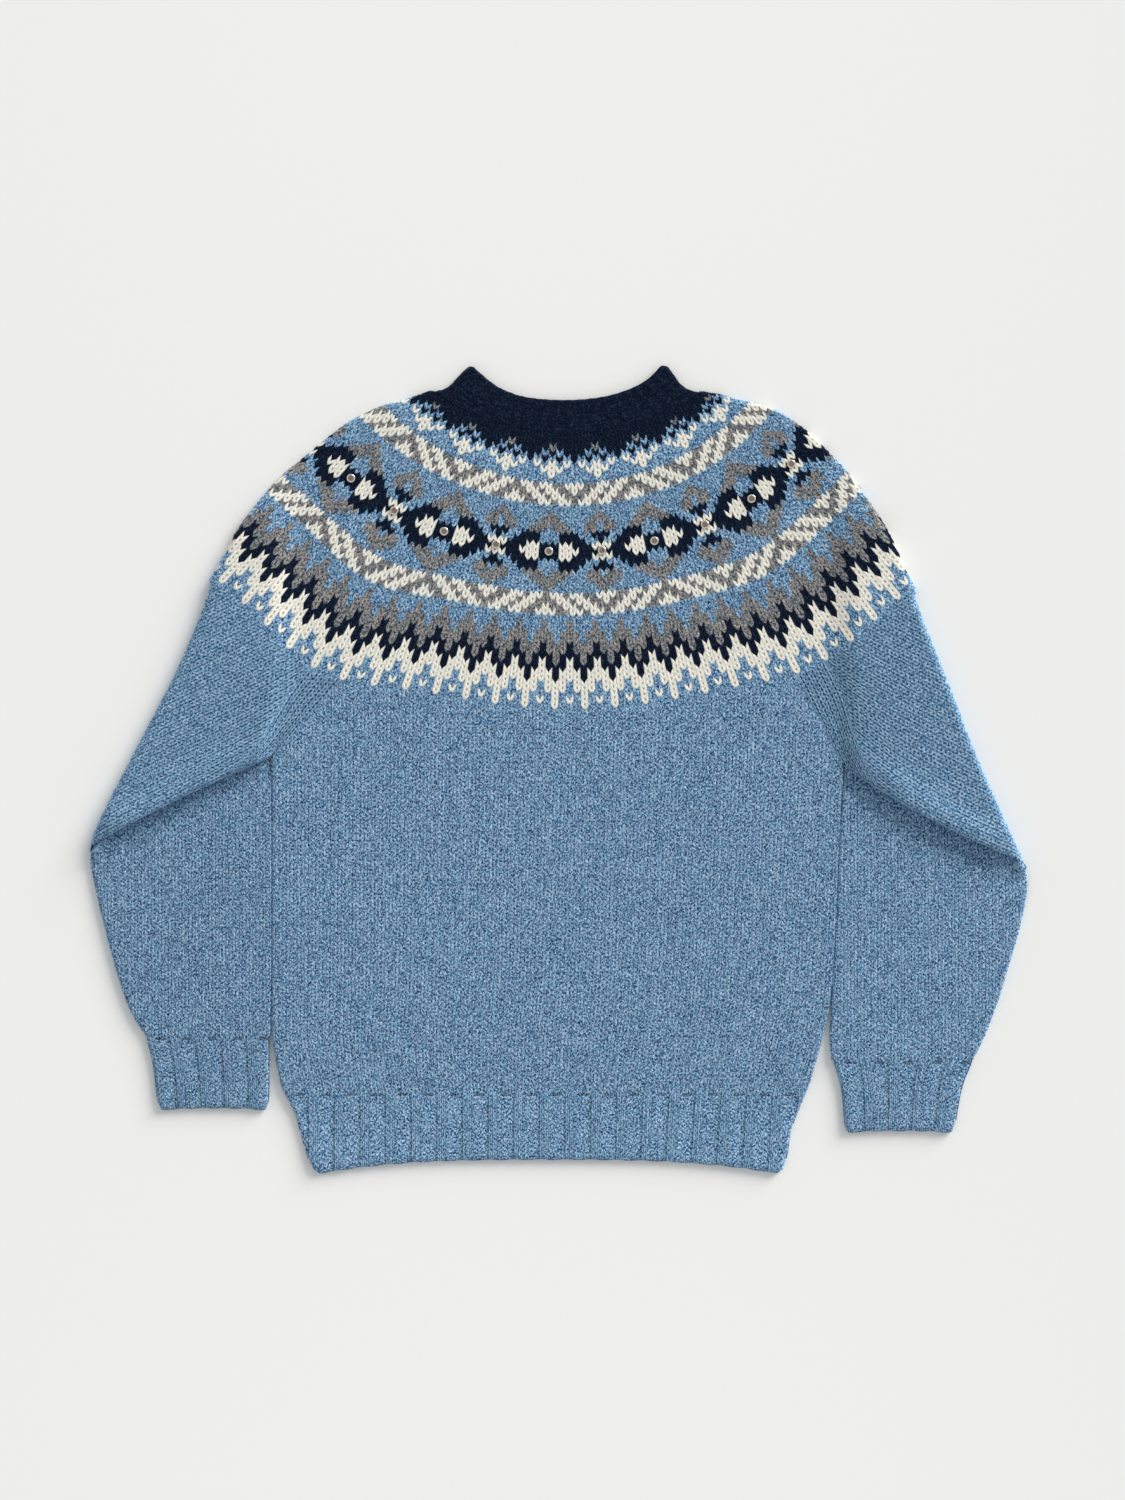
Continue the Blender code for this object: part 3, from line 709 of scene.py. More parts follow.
def wool(name, yarn_group):
    """Knitted wool whose yarn colours come with the piece."""
    material = bpy.data.materials.new(name)
    material.use_nodes = True
    tree = material.node_tree
    surface = tree.nodes["Principled BSDF"]
    yarn = node(tree, "ShaderNodeAttribute", attribute_name="yarn")
    fabric = node(tree, "ShaderNodeAttribute", attribute_name="fabric")
    knit = node(
        tree,
        "ShaderNodeGroup",
        {
            "Yarn": yarn.outputs["Color"],
            "Fleck": yarn.outputs["Alpha"],
            # Strength of the painted shade in the hollows
            "Depth": PAINTED_SHADE_DEPTH,
            "Stitch": node(tree, "ShaderNodeUVMap", uv_map="stitches").outputs[0],
            "Place": node(tree, "ShaderNodeTexCoord").outputs["Object"],
            "Fabric": fabric.outputs["Vector"],
        },
        node_tree=yarn_group,
    )
    relief = node(
        tree,
        "ShaderNodeBump",
        {"Strength": 0.5, "Distance": 0.0012, "Height": knit.outputs["Height"]},
    )
    tree.links.new(knit.outputs["Colour"], surface.inputs["Base Color"])
    tree.links.new(relief.outputs[0], surface.inputs["Normal"])
    surface.inputs["Roughness"].default_value = 0.92
    surface.inputs["Specular IOR Level"].default_value = 0.05
    surface.inputs["Sheen Weight"].default_value = 0.04
    surface.inputs["Sheen Roughness"].default_value = 0.5
    return material


def stud_metal():
    """Polished metal with a warm tint and faint scratches, and a painted highlight in a brighter
    colour on the rim.
    """
    material = bpy.data.materials.new("stud_metal")
    material.use_nodes = True
    tree = material.node_tree
    surface = tree.nodes["Principled BSDF"]
    place = node(tree, "ShaderNodeTexCoord")
    haze = node(
        tree,
        "ShaderNodeTexNoise",
        {"Vector": place.outputs["Object"], "Scale": 900.0, "Detail": 3.0},
    )
    rough = node(tree, "ShaderNodeMapRange", {0: haze.outputs[0], 1: 0.3, 2: 0.7, 3: 0.16, 4: 0.32})
    face = blended(tree, haze.outputs[0], (0.25, 0.19, 0.14, 1.0), (0.42, 0.34, 0.26, 1.0))
    rim_highlight = node(tree, "ShaderNodeAttribute", attribute_name="rim_highlight")
    # Painted highlight: the rim takes a brighter colour than the face
    tone = blended(tree, rim_highlight.outputs["Fac"], face, (0.86, 0.79, 0.72, 1.0))
    tree.links.new(tone, surface.inputs["Base Color"])
    tree.links.new(rough.outputs[0], surface.inputs["Roughness"])
    surface.inputs["Metallic"].default_value = 1.0
    return material


# Knitted pieces


def body_edges():
    """The left and right side lines of the body, with the cloth on their left."""
    left = rounded(BODY_ROWS[::-1, :2][:, ::-1])
    right = rounded(BODY_ROWS[:, [2, 0]])
    return left, right


def body_patch(name, fine, under=False):
    """A panel of the body, tucked under the yoke and the sleeves."""
    wrap = 3.0
    bottom = BODY_ROWS[0, 0] - 1.0
    rows = 92
    stitches = 78
    patch = Patch(name, stitches, rows, fine)
    y = bottom + patch.slanted() * ROW_HEIGHT
    low = np.interp(y, BODY_ROWS[:, 0], BODY_ROWS[:, 1]) - wrap
    high = np.interp(y, BODY_ROWS[:, 0], BODY_ROWS[:, 2]) + wrap
    x = low + (high - low) * patch.u / stitches
    patch.lay(x, y, np.full_like(x, PAIR) if under else layer_top(x, y))
    for line in body_edges():
        patch.fold(line, FOLD, SIDE_LAP, SIDE_NARROW)
    patch.tuck(below_yoke(x, y), start=0.5, end=-2.0, depth=0.7 if under else 0.9, keep=-8.0)
    for side in (-1, 1):
        beyond = beyond_line(x, y, raglan_line(side)[::-1])
        beyond = np.where(y > ARMPIT[side][1], beyond, CLEAR)
        patch.tuck(beyond, start=1.0, end=-3.0, depth=0.6 if under else 1.5, keep=-9.0)
    return patch


def back_piece(material):
    """The back, uppermost, stitch by stitch."""
    patch = body_patch("knit_back", FINE)
    patch.knitted()
    piece = joined("knit_back", [patch.finished(BODY_BLUE)], material)
    return dress(
        piece, ["back"]
    )


def front_piece(material):
    """The front, which lies face down on the floor."""
    patch = body_patch("knit_front", COARSE, under=True)
    patch.turned_over()
    piece = joined("knit_front", [patch.finished(BODY_BLUE)], material)
    return dress(piece, ["front"])


# The yoke's charts, top row first. W is cream, N navy, G grey, and a dot the ground blue


def mirrored(rows):
    """Full repeats from charts that hold their middle column and one half."""
    return [row + row[-2:0:-1] for row in rows]


SNOW = ["GNNNNN", "N.NNN.", ".N.N.N", "W.W.W.", "WW...W", "W....."]
ZIGZAG = mirrored(["GWWGWWGGWW", "GGWWGWWGGW", "WGGWWGWWGG", "WWGGWWGWWG"])
EYES_LOWER = [
    "NNWWWNNNN", "NNWWNNNWW", "..NNNN..N", "..NNN..NN",
    ".GGG..GG.", "GGG...GGG", "GG.....GG", "G.......G",
]
EYES_UPPER = EYES_LOWER[:5] + ["GGG...GG."] + EYES_LOWER[6:]
EYES = mirrored(EYES_UPPER[:0:-1] + EYES_LOWER)
TEETH = mirrored([
    "G..", "G..", "GG.", "GG.", "NGG", "NGG", "NNG", "WNG",
    "WNN", "WWN", "WWN", ".WW", ".WW", "..W", "W.W", "..W",
])
# Top row, degrees a stitch, angle of the repeat's first column, how far stitches narrow to
# the left and right of it, and the chart
BANDS = (
    (0, 1.653, -4.0, 1.0, 1.0, ["N"] * 3 + SNOW + ["."]),
    (10, 1.30, -10.8, 1.0, 1.0, ZIGZAG + ["."]),
    (15, 1.10, -3.5, 1.0, 1.0, EYES),
    (30, 0.978, -3.5, 0.985, 1.0, ZIGZAG + ["."]),
    (35, 0.88, -3.5, 0.97, 0.985, TEETH),
)
YOKE_REACH = 52.0


def chart_colours(chart, column, row):
    """The yarn of each face, from the column and row of its stitch."""
    found = np.empty((len(column), 4))
    for index, line in enumerate(reversed(chart)):
        here = row == index
        table = np.array([YARNS[letter] for letter in line])
        found[here] = table[column[here] % len(line)]
    return found


def yoke_edges():
    """The shoulder folds, each with the cloth on its left."""
    lines = []
    for column, sign in ((1, -1), (2, 1)):
        depth = np.linspace(-0.02, 1.03, 22)
        end = sign * np.interp(depth, YOKE_SECTIONS[:, 0], YOKE_SECTIONS[:, column])
        x, y = polar(yoke_radius(depth, end), end)
        line = np.stack([x, y], axis=1)
        lines.append(rounded(line if sign < 0 else line[::-1], 1))
    return lines


def yoke_patch(name, band, fine, drop=0.0):
    """One band of the yoke and the yarns of its faces. Its lowest row goes under the next band."""
    first, pitch, phase, left_share, right_share, chart = band
    chart = chart + ["."]
    rows = len(chart)
    reach = math.ceil((YOKE_REACH + abs(phase)) / pitch / min(left_share, right_share))
    patch = Patch(name, 2 * reach + 1, rows, fine)
    across = patch.u - 0.5 - reach
    angle = phase + across * pitch * np.where(across < 0, left_share, right_share)
    row = first + rows - patch.slanted()
    depth = (YOKE_ROWS_TOP + row * YOKE_ROW - NECK_SEAM_RADIUS) / YOKE_LENGTH
    radius = yoke_radius(depth, angle) + drop * (1 - depth)
    x, y = polar(radius, angle)
    overlap = smooth(1.3 - patch.v) * 0.9
    patch.lay(x, y, layer_top(x, y) - overlap)
    above = radius < yoke_radius(0.0, angle) + 0.5
    patch.dropped |= above & (np.abs(angle) > SHOULDER_ANGLE)
    column = np.floor(patch.stitch).astype(int) - reach
    colours = chart_colours(chart, column, np.floor(patch.row).astype(int))
    return patch, colours


def yoke_piece(material):
    """The yoke, turned under at the shoulders, and its underside."""
    made = []
    for index, band in enumerate(BANDS):
        patch, colours = yoke_patch(f"yoke_band_{index}", band, FINE)
        radius = layer_top(patch.x, patch.y) / 2
        for line in yoke_edges():
            patch.fold(line, radius, UNDERLAP)
        patch.knitted(lift=0.1)
        made.append(patch.finished(colours))
    for index, band in enumerate(BANDS):
        patch, colours = yoke_patch(f"yoke_under_{index}", band, COARSE, FRONT_NECK_DROP)
        inset = layer_top(patch.x, patch.y) / 2 * UNDERSIDE_INSET
        for line in yoke_edges():
            patch.dropped |= beyond_line(patch.x, patch.y, line) < inset
        patch.z = 0.35 + 0.5 * smooth(1.3 - patch.v)
        patch.flip = True
        made.append(patch.finished(colours))
    piece = joined("knit_yoke", made, material)
    return dress(
        piece, ["yoke"]
    )


def rib_place(u):
    """Share of a rib's width at each stitch of four: two knit, drawn together, and two purl."""
    across = u % 4.0
    return np.floor(u / 4.0) + np.where(across < 2.0, 0.17 * across, 0.34 + 0.33 * (across - 2.0))


def rib_height(u, v):
    """Height of ribbing, and how far each point is in a knit column."""
    across = u % 4.0
    edge = 0.3
    in_knit = smooth((across + edge) / (2 * edge)) * smooth((2.0 + edge - across) / (2 * edge))
    in_knit = np.maximum(in_knit, smooth((across - 4.0 + edge) / (2 * edge)))
    bumps = 0.5 + 0.5 * np.cos(2 * np.pi * (v + 0.45 * np.cos(2 * np.pi * u)))
    knit = 0.65 + 0.8 * plain_knit(u, v)
    purl = 0.9 * bumps
    return in_knit * knit + (1 - in_knit) * purl, in_knit


def neckband_line(under):
    """The neckband's upper outline, with the cloth on its left, lower at the front."""
    outline = np.array(NECKBAND_OUTLINE)[::-1]
    if under:
        across = (outline[:, 0] - BRIM_CENTRE) / BRIM_HALF_WIDTH
        dip = FRONT_NECK_DROP * (1 - across ** 2)
        outline[:, 1] -= np.where(np.abs(across) < 1, dip, 0.0)
    return rounded(outline, 1)


def neckband_patch(name, under):
    """The back or the front of the neckband, from its seam up to the brim."""
    ribs = 22
    rows = 7
    wrap = 0.09
    patch = Patch(name, ribs * 4, rows, (2, 1) if under else (3, 3))
    climb = patch.v / rows
    left_foot, left_top = NECKBAND_HALF_WIDTH[-1]
    right_foot, right_top = NECKBAND_HALF_WIDTH[1]
    left = -left_foot + climb * (left_foot - left_top)
    right = right_foot - climb * (right_foot - right_top)
    share = -wrap + rib_place(patch.u) / ribs * (1 + 2 * wrap)
    angle = left + share * (right - left)
    from_middle = 2 * np.clip(share, 0, 1) - 1
    seam = yoke_radius(0.0, angle) + 2.5
    top = NECK_TOP_RADIUS - 1.5 - (NECKBAND_TIP_DROP + 3.0) * np.abs(from_middle) ** 6
    lower = FRONT_NECK_DROP * (1 - from_middle ** 2) if under else 0.0
    x, y = polar(seam + climb * (top - seam) + lower, angle)
    patch.lay(x, y, np.full_like(x, PAIR + 0.4))
    patch.fold(neckband_line(under), FOLD + 0.2, BAND_LAP)
    if under:
        patch.turned_over(PAIR + 0.4)
    else:
        height, _ = rib_height(patch.u, patch.v)
        patch.raised(0.6 * height - 0.4)
    return patch


def neckband_piece(material):
    """The neckband, back and front in one ring."""
    made = []
    for under in (False, True):
        patch = neckband_patch(f"neckband_{under}", under)
        made.append(patch.finished(YARNS["N"]))
    piece = joined("knit_neckband", made, material)
    return dress(
        piece, ["neckband"]
    )


def band_outline(table, low_edge, high_edge, ribs, corner_drop, columns):
    """The sides and rippled lower edge of a ribbed band, with the cloth on its left."""
    middle = (low_edge[0] + high_edge[0]) / 2
    half = (high_edge[0] - low_edge[0]) / 2
    start, width = columns or (middle - half, 2 * half / ribs)
    spread = np.linspace(-0.97, 0.97, 6 * ribs + 1)
    ripple = 0.5 * np.cos(2 * np.pi * (middle + half * spread - start) / width)
    drop = corner_drop * np.abs(spread) ** 3
    lower = np.stack([middle + half * spread, table[0, 0] - drop + ripple], 1)
    left = np.stack([low_edge, table[:, 0]], 1)[::-1]
    right = np.stack([high_edge, table[:, 0]], 1)
    above = np.array([[0.0, 12.0]])
    near_corner = np.array([[0.0, 5.0 - corner_drop]])
    side_left = np.concatenate([left[:1] + above, left[:-1], left[-1:] + near_corner])
    side_right = np.concatenate([right[:1] + near_corner, right[1:], right[-1:] + above])
    return rounded(np.concatenate([side_left, lower, side_right]))


def ribbed_tube(name, table, rows, ribs, material, tone, corner_drop, columns=None):
    """The top and underside of a flattened ribbed band, turned round its sides and lower edge.

    Its columns fan with the sides, or stand upright from a given start at a given width.
    """
    made = []
    wrap = 2.5
    table = table[np.argsort(table[:, 0])]
    low_edge = np.minimum(table[:, 1], table[:, 2])
    high_edge = np.maximum(table[:, 1], table[:, 2])
    bottom, top = table[0, 0], table[-1, 0]
    outline = band_outline(table, low_edge, high_edge, ribs, corner_drop, columns)
    for under in (False, True):
        patch = Patch(f"{name}_{under}", ribs * 4, rows, COARSE if under else FINE)
        y = bottom - 2.0 + (top + 4.5 - bottom) * patch.v / rows
        low = np.interp(y, table[:, 0], low_edge) - wrap
        high = np.interp(y, table[:, 0], high_edge) + wrap
        x = low + (high - low) * rib_place(patch.u) / ribs
        if columns:
            start, width = columns
            x = start + width * rib_place(patch.u)
            x = x + 0.08 * (y - (bottom + top) / 2) * smooth(x / 150)
        share = np.clip((x - low) / (high - low), 0, 1)
        near_end = smooth(1 - (y - bottom) / 40)
        y = y - corner_drop * np.abs(2 * share - 1) ** 3 * near_end
        height, in_knit = rib_height(patch.u, patch.v)
        if not under:
            slant = SLANT * (np.abs(2 * (patch.u % 1.0) - 1) - 0.5) * in_knit
            y = y + slant * ROW_HEIGHT * smooth(patch.v - 0.6)
        patch.lay(x, y, np.full_like(x, PAIR))
        patch.fold(outline, FOLD, BAND_LAP)
        patch.purl = 1 - in_knit
        patch.drawn = 0.5 * in_knit
        patch.tuck(top + 1.0 - y, start=2.0, end=-2.0, depth=0.6 if under else 1.0, keep=-6.0)
        colours = np.tile(toned(tone), (len(patch.stitch), 1))
        if under:
            patch.turned_over()
        else:
            patch.raised(height - 0.9)
            paint_seam_shade(patch, colours, rows)
        made.append(patch.finished(colours))
    return joined(name, made, material)


def paint_seam_shade(patch, colours, rows):
    """Paints shade on the recessed purl stitch between the ribs next to the seam."""
    across = patch.stitch % 4.0
    near_seam = np.abs(patch.row - rows + 0.9) < 0.3
    # Painted shade in the purl recess at the seam
    colours[(across > 2.5) & (across < 3.5) & near_seam, :3] *= 0.45


def raglan_line(side):
    """The join of body and sleeve, drawn on under the yoke, with the sleeve on its left."""
    armpit = np.array(ARMPIT[side])
    top = np.array(raglan_top(side))
    line = [armpit, top, top + 0.6 * (top - armpit)]
    return line if side < 0 else line[::-1]


def ordered(side, points):
    """A line drawn for the left sleeve, turned to keep the cloth on its left on the right one."""
    return points if side < 0 else points[::-1]


def underarm_line(side):
    """The lower edge of the upper arm, a little bowed."""
    corner = np.array(FOLD_CORNER[side])
    armpit = np.array(ARMPIT[side])
    share = np.linspace(-0.05, 1.0, 12)[:, None]
    line = corner + share * (armpit - corner)
    line[:, 1] += UNDERARM_BOW[side] * 4 * (share * (1 - share))[:, 0]
    return ordered(side, line)


def outer_fold_line(side):
    """The fold down the outside of the upper arm, from the yoke past the elbow."""
    return ordered(side, rounded(ARM_OUTER[side], 1))


def edge_line(rows):
    """A rounded line through rows of height and place."""
    return rounded([(place, height) for height, place in rows])


def from_corner(side, x, y):
    """Distance from the outer end of the crease under the arm."""
    return np.hypot(x - FOLD_CORNER[side][0], y - FOLD_CORNER[side][1])


def corner_height(away):
    """Height of the forearm, which climbs to the upper arm at the outer end of the crease."""
    return PAIR + (STACK - PAIR) * smooth(1 - away / CREASE_SPREAD)


def settled_on_arm(patch, side, x, y):
    """Lays cloth on the folded arm, bulged above the crease, turned under it and under the yoke.

    Gives the distance of each point from the raglan.
    """
    height = beyond_line(x, y, underarm_line(side))
    beyond = beyond_line(x, y, raglan_line(side))
    away = from_corner(side, x, y)
    bulge = BULGE * np.exp(-((np.maximum(height - BULGE_START, 0) / BULGE_WIDTH) ** 2))
    bulge = bulge * smooth(away / BULGE_FADE)
    bulge = bulge * smooth((beyond + 4) / 40)
    patch.lay(x, y, layer_top(x, y) + bulge)
    below = corner_height(away) - CREASE_SINK * smooth(away / SINK_FADE)
    radius = np.maximum((STACK + bulge - below) / 2 + 0.1, 0.3)
    patch.fold(underarm_line(side), radius, math.pi, CREASE_NARROW)
    patch.fold(outer_fold_line(side), STACK / 2, UNDERLAP)
    patch.tuck(below_yoke(x, y), start=0.5, end=-2.0, depth=0.9, keep=-8.0)
    patch.flip = side > 0
    return beyond


def raglan_direction(side):
    """From the armpit up along the raglan, and how long that is."""
    along = np.array(raglan_top(side)) - np.array(ARMPIT[side])
    length = np.hypot(*along)
    return along / length, length


def narrowed(up):
    """The columns beside the raglan are narrower at the armpit."""
    return 0.62 + 0.38 * smooth(up / 69)


def band_width(side, x, y):
    """Width of the columns beside the raglan."""
    along, _ = raglan_direction(side)
    up = (x - ARMPIT[side][0]) * along[0] + (y - ARMPIT[side][1]) * along[1]
    return RAGLAN_COLUMNS * RAGLAN_STITCH * narrowed(up)


def raglan_patch(side, name):
    """Columns of the sleeve that run along the raglan, from the armpit up under the yoke."""
    armpit = np.array(ARMPIT[side])
    along, length = raglan_direction(side)
    outward = side * np.array([along[1], -along[0]])
    row_height = 4.6
    under_crease = 72
    under_yoke = 14
    rows = math.ceil((length + (under_crease + under_yoke)) / row_height)
    patch = Patch(name, RAGLAN_COLUMNS + 1, rows)
    up = -under_crease + patch.slanted() * row_height
    across = (patch.u - 0.6) * RAGLAN_STITCH * narrowed(up)
    x = armpit[0] + along[0] * up + outward[0] * across
    y = armpit[1] + along[1] * up + outward[1] * across
    beyond = settled_on_arm(patch, side, x, y)
    seam = np.where(y > armpit[1] - 12, beyond, CLEAR)
    patch.tuck(seam, start=2.0, end=-2.0, depth=0.7, keep=-3.0)
    patch.tuck(-patch.u + RAGLAN_COLUMNS + 0.75, start=0.4, end=-0.2, depth=0.8)
    patch.drawn = np.ones_like(x)
    patch.knitted(1.7, 0.2)
    return patch


def upper_arm_patch(side, name):
    """The upper arm, whose columns run along the crease and are drawn up beside the raglan."""
    armpit = np.array(ARMPIT[side])
    corner = np.array(FOLD_CORNER[side])
    length = np.hypot(*(corner - armpit))
    outward = (corner - armpit) / length
    upward = np.array([outward[1] * -side, outward[0] * side])
    rows = 76
    stitches = 40
    patch = Patch(name, stitches, rows)
    out = 246.0 - patch.slanted() * SLEEVE_ROW
    up = -44.0 + patch.u * SLEEVE_STITCH
    along = np.clip(out / length, 0, 1)
    bow = UNDERARM_BOW[side] * 4 * along * (1 - along) * smooth(1 - up / 90)
    x = armpit[0] + outward[0] * out + upward[0] * up
    y = armpit[1] + outward[1] * out + upward[1] * up + bow
    raglan, _ = raglan_direction(side)
    past = beyond_line(x, y, raglan_line(side)) - band_width(side, x, y)
    drawn = DRAWN_WALES * np.clip(1 - past / DRAWN_WIDTH, 0, 1.4) ** 2
    x = x + raglan[0] * drawn
    y = y + raglan[1] * drawn
    past = settled_on_arm(patch, side, x, y) - band_width(side, x, y)
    near_raglan = np.where(y > armpit[1] - 30, past, CLEAR)
    patch.tuck(near_raglan, start=2.0, end=-3.0, depth=0.8, keep=-8.0)
    patch.drawn = 0.6 + 0.3 * smooth(1.0 - past / DRAWN_WIDTH)
    patch.knitted(1.2 + 0.5 * smooth(1 - past / DRAWN_WIDTH))
    return patch


def forearm_patch(side, name):
    """The sleeve below the crease, folded under on its outer line and turned in beside the body."""
    outer = FOREARM_OUTER[side]
    inner = FOREARM_INNER[side]
    bottom = outer[0][0] - 1.5
    rows = 76
    stitches = 31
    patch = Patch(name, stitches, rows)
    y = bottom + patch.slanted() * SLEEVE_ROW
    near = min(abs(point[1]) for point in inner[:-1]) - 8.0
    x = side * (near + patch.u * SLEEVE_STITCH)
    away = from_corner(side, x, y)
    beyond = beyond_line(x, y, underarm_line(side))
    sink = CREASE_SINK * smooth(1 + (beyond - 3) / SINK_SPREAD) * smooth(away / SINK_FADE)
    patch.lay(x, y, corner_height(away) - sink)
    patch.fold(ordered(side, edge_line(outer[::-1])), patch.z / 2, UNDERLAP)
    touching = edge_line(inner)
    lower = 0.3 if side < 0 else 1.4
    closer = 1.3 + lower * smooth((-40 - touching[:, 1]) / 30)
    touching[:, 0] -= side * (0.5 + 0.6 * closer * smooth((touching[:, 1] + 215) / 40))
    patch.fold(ordered(side, touching), FOLD, math.pi, SIDE_NARROW)
    patch.dropped |= beyond > 19.0
    patch.tuck(y - bottom - 1.0, start=2.0, end=-2.0, depth=0.8, keep=-9.0)
    patch.knitted()
    patch.flip = side < 0
    return patch


def sleeve_under_patch(side, name):
    """The flat underside of the whole sleeve."""
    rows = 62
    stitches = 36
    row_height = 7.0
    patch = Patch(name, stitches, rows, (2, 2))
    y = FOREARM_OUTER[side][0][0] + patch.slanted() * row_height
    x = side * (200.0 + patch.u * SLEEVE_STITCH * 1.02)
    patch.lay(x, y, 0.2 + 0.6 * smooth((2.0 - below_yoke(x, y)) / 4))
    above_corner = y > FOLD_CORNER[side][1]
    above_armpit = y > ARMPIT[side][1]
    edges = (
        (outer_fold_line(side), STACK / 2, above_corner),
        (ordered(side, edge_line(FOREARM_OUTER[side][::-1])), FOLD, ~above_corner),
        (ordered(side, edge_line(FOREARM_INNER[side])), FOLD, ~above_armpit),
        (raglan_line(side), -6.0, above_armpit),
    )
    for line, radius, where in edges:
        patch.dropped |= where & (beyond_line(x, y, line) < radius * UNDERSIDE_INSET)
    patch.dropped |= below_yoke(x, y) < -6
    patch.flip = side > 0
    return patch


def sleeve_piece(side, label, material):
    """A sleeve from the raglan to the cuff, with its underside."""
    # The forearm's tone is painted light and shade, lighter on the right
    made = [
        upper_arm_patch(side, f"upper_arm_{label}").finished(toned(ARM_TONE)),
        raglan_patch(side, f"raglan_{label}").finished(toned(ARM_TONE)),
        forearm_patch(side, f"forearm_{label}").finished(toned(FOREARM_PAINTED_LIGHT[side])),
        sleeve_under_patch(side, f"sleeve_under_{label}").finished(BODY_BLUE),
    ]
    piece = joined(f"knit_sleeve_{label}", made, material)
    return dress(
        piece,
        [f"sleeve_{label}"],
    )


def stud_shape(place):
    """A flat round stud with a turned rim, spun from its profile and closed below."""
    shape = bmesh.new()
    points = [shape.verts.new((r * STUD_RADIUS * MM, 0, z * MM)) for r, z in STUD_PROFILE]
    edges = [shape.edges.new(pair) for pair in zip(points, points[1:])]
    bmesh.ops.spin(
        shape,
        geom=points + edges,
        cent=(0, 0, 0),
        axis=(0, 0, 1),
        angle=2 * math.pi,
        steps=32,
        use_merge=True,
    )
    bmesh.ops.remove_doubles(shape, verts=shape.verts, dist=0.000001)
    foot = [edge for edge in shape.edges if edge.is_boundary]
    bmesh.ops.holes_fill(shape, edges=foot)
    bmesh.ops.recalc_face_normals(shape, faces=shape.faces)
    bmesh.ops.translate(shape, verts=shape.verts, vec=place)
    return shape


def stud_piece(index, metal):
    """One of the row of studs, seated on the cloth, with its rim marked for a painted highlight."""
    label = f"{index + 1:02d}"
    angle = np.array([STUD_FIRST_ANGLE + index * STUD_PITCH_ANGLE])
    x, y = polar(yoke_radius(STUD_ROW_DEPTH, angle), angle)
    base = float(layer_top(x, y)[0]) + STUD_SEAT
    place = (x[0] * MM, y[0] * MM, base * MM)
    mesh = bpy.data.meshes.new(f"studs_{label}")
    shape = stud_shape(place)
    shape.to_mesh(mesh)
    shape.free()
    mesh.shade_smooth()
    mesh.materials.append(metal)
    share = [math.dist(v.co[:2], place[:2]) / (STUD_RADIUS * MM) for v in mesh.vertices]
    outer = smooth((np.array(share) - STUD_HIGHLIGHT_FROM) / STUD_HIGHLIGHT_SPREAD)
    rim_highlight = mesh.attributes.new("rim_highlight", "FLOAT", "POINT")
    rim_highlight.data.foreach_set("value", outer.astype(np.float32))
    piece = linked(f"round_stud_{label}", mesh)
    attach(piece, "root")
    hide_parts(f"stud_{label}")


def pale_floor():
    """A plain floor just under the sweater."""
    shape = bmesh.new()
    bmesh.ops.create_grid(shape, x_segments=1, y_segments=1, size=6.0)
    mesh = bpy.data.meshes.new("floor")
    shape.to_mesh(mesh)
    shape.free()
    floor = linked("floor", mesh)
    floor.location = (0.0, 0.0, -0.0004)
    paper = bpy.data.materials.new("paper_floor")
    paper.use_nodes = True
    surface = paper.node_tree.nodes["Principled BSDF"]
    surface.inputs["Base Color"].default_value = (0.855, 0.857, 0.842, 1.0)
    surface.inputs["Roughness"].default_value = 1.0
    surface.inputs["Specular IOR Level"].default_value = 0.0
    mesh.materials.append(paper)


def soft_air():
    """Even light from all round."""
    world = bpy.data.worlds.new("studio_air")
    world.use_nodes = True
    background = world.node_tree.nodes["Background"]
    background.inputs[0].default_value = (0.985, 0.992, 1.0, 1.0)
    background.inputs[1].default_value = 0.565
    bpy.context.scene.world = world


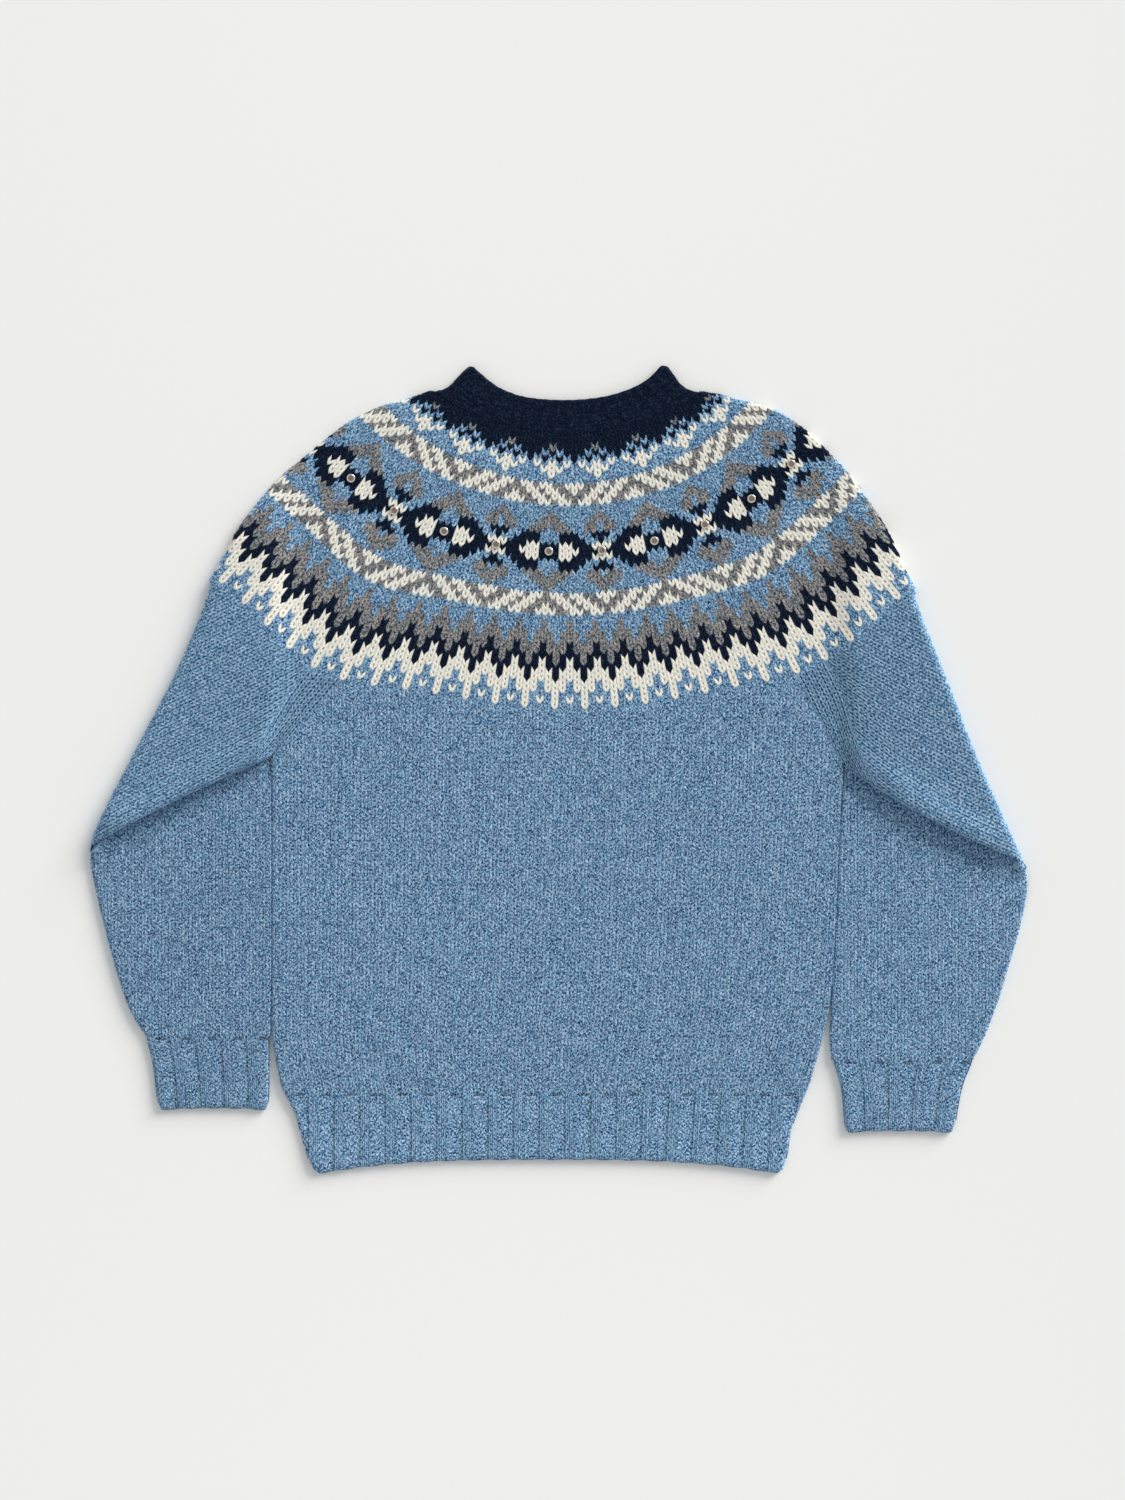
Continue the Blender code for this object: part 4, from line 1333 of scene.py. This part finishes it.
def key_light():
    """A broad soft light from the upper right, low over the floor."""
    sun = bpy.data.lights.new("key_light", "SUN")
    sun.energy = 3.19
    sun.angle = math.radians(34)
    sun.color = (1.0, 0.985, 0.96)
    elevation = math.radians(24)
    bearing = math.radians(48)
    lamp = linked("key_light", sun)
    lamp.rotation_euler = (math.pi / 2 - elevation, 0.0, bearing + math.pi / 2)


def edge_strips():
    """Two weak strips of light beyond the neck and the hem."""
    for sign in (1, -1):
        strip = bpy.data.lights.new("rim_strip", "AREA")
        strip.shape = "RECTANGLE"
        strip.size = 0.55
        strip.size_y = 0.09
        strip.energy = 0.45
        lamp = linked("rim_strip", strip)
        lamp.location = (0.0, 1.05 * sign, 0.95)
        lamp.rotation_euler = (-sign * math.radians(48), 0.0, 0.0)


def overhead_camera():
    """A camera straight above, whose frame is the photograph's."""
    lens = bpy.data.cameras.new("overhead")
    lens.sensor_fit = "VERTICAL"
    lens.sensor_height = SENSOR
    lens.lens = SENSOR * CAMERA_HEIGHT / (PHOTO_HEIGHT * PIXEL)
    lens.clip_end = 20.0
    camera = linked("overhead", lens)
    camera.location = (PHOTO_CENTRE[0] * MM, PHOTO_CENTRE[1] * MM, (CAMERA_HEIGHT + PAIR) * MM)
    bpy.context.scene.camera = camera


def studio():
    """The floor, the lights and the camera."""
    view = bpy.context.scene.view_settings
    view.view_transform = "Standard"
    view.look = "None"
    pale_floor()
    soft_air()
    key_light()
    edge_strips()
    overhead_camera()


def main():
    studio()
    yarn = heathered_yarn()
    blue = wool("blue_wool", yarn)
    pattern = wool("yoke_wool", yarn)
    navy = wool("navy_wool", yarn)
    front_piece(blue)
    back_piece(blue)
    yoke_piece(pattern)
    neckband_piece(navy)
    hem = ribbed_tube("knit_hem", HEM_ROWS, 15, 22, blue, HEM_TONE, HEM_CORNER_DROP, HEM_COLUMNS)
    dress(hem, ["hem_rib"])
    for side, label in ((-1, "left"), (1, "right")):
        sleeve_piece(side, label, blue)
        # The cuff's tone is painted light and shade, lighter on the right
        cuff = ribbed_tube(
            f"knit_cuff_{label}", CUFF_ROWS[side], 16, 5, blue, CUFF_PAINTED_LIGHT[side], CUFF_CORNER_DROP
        )
        dress(cuff, [f"cuff_{label}"])
    metal = stud_metal()
    for index in range(STUD_COUNT):
        stud_piece(index, metal)


main()
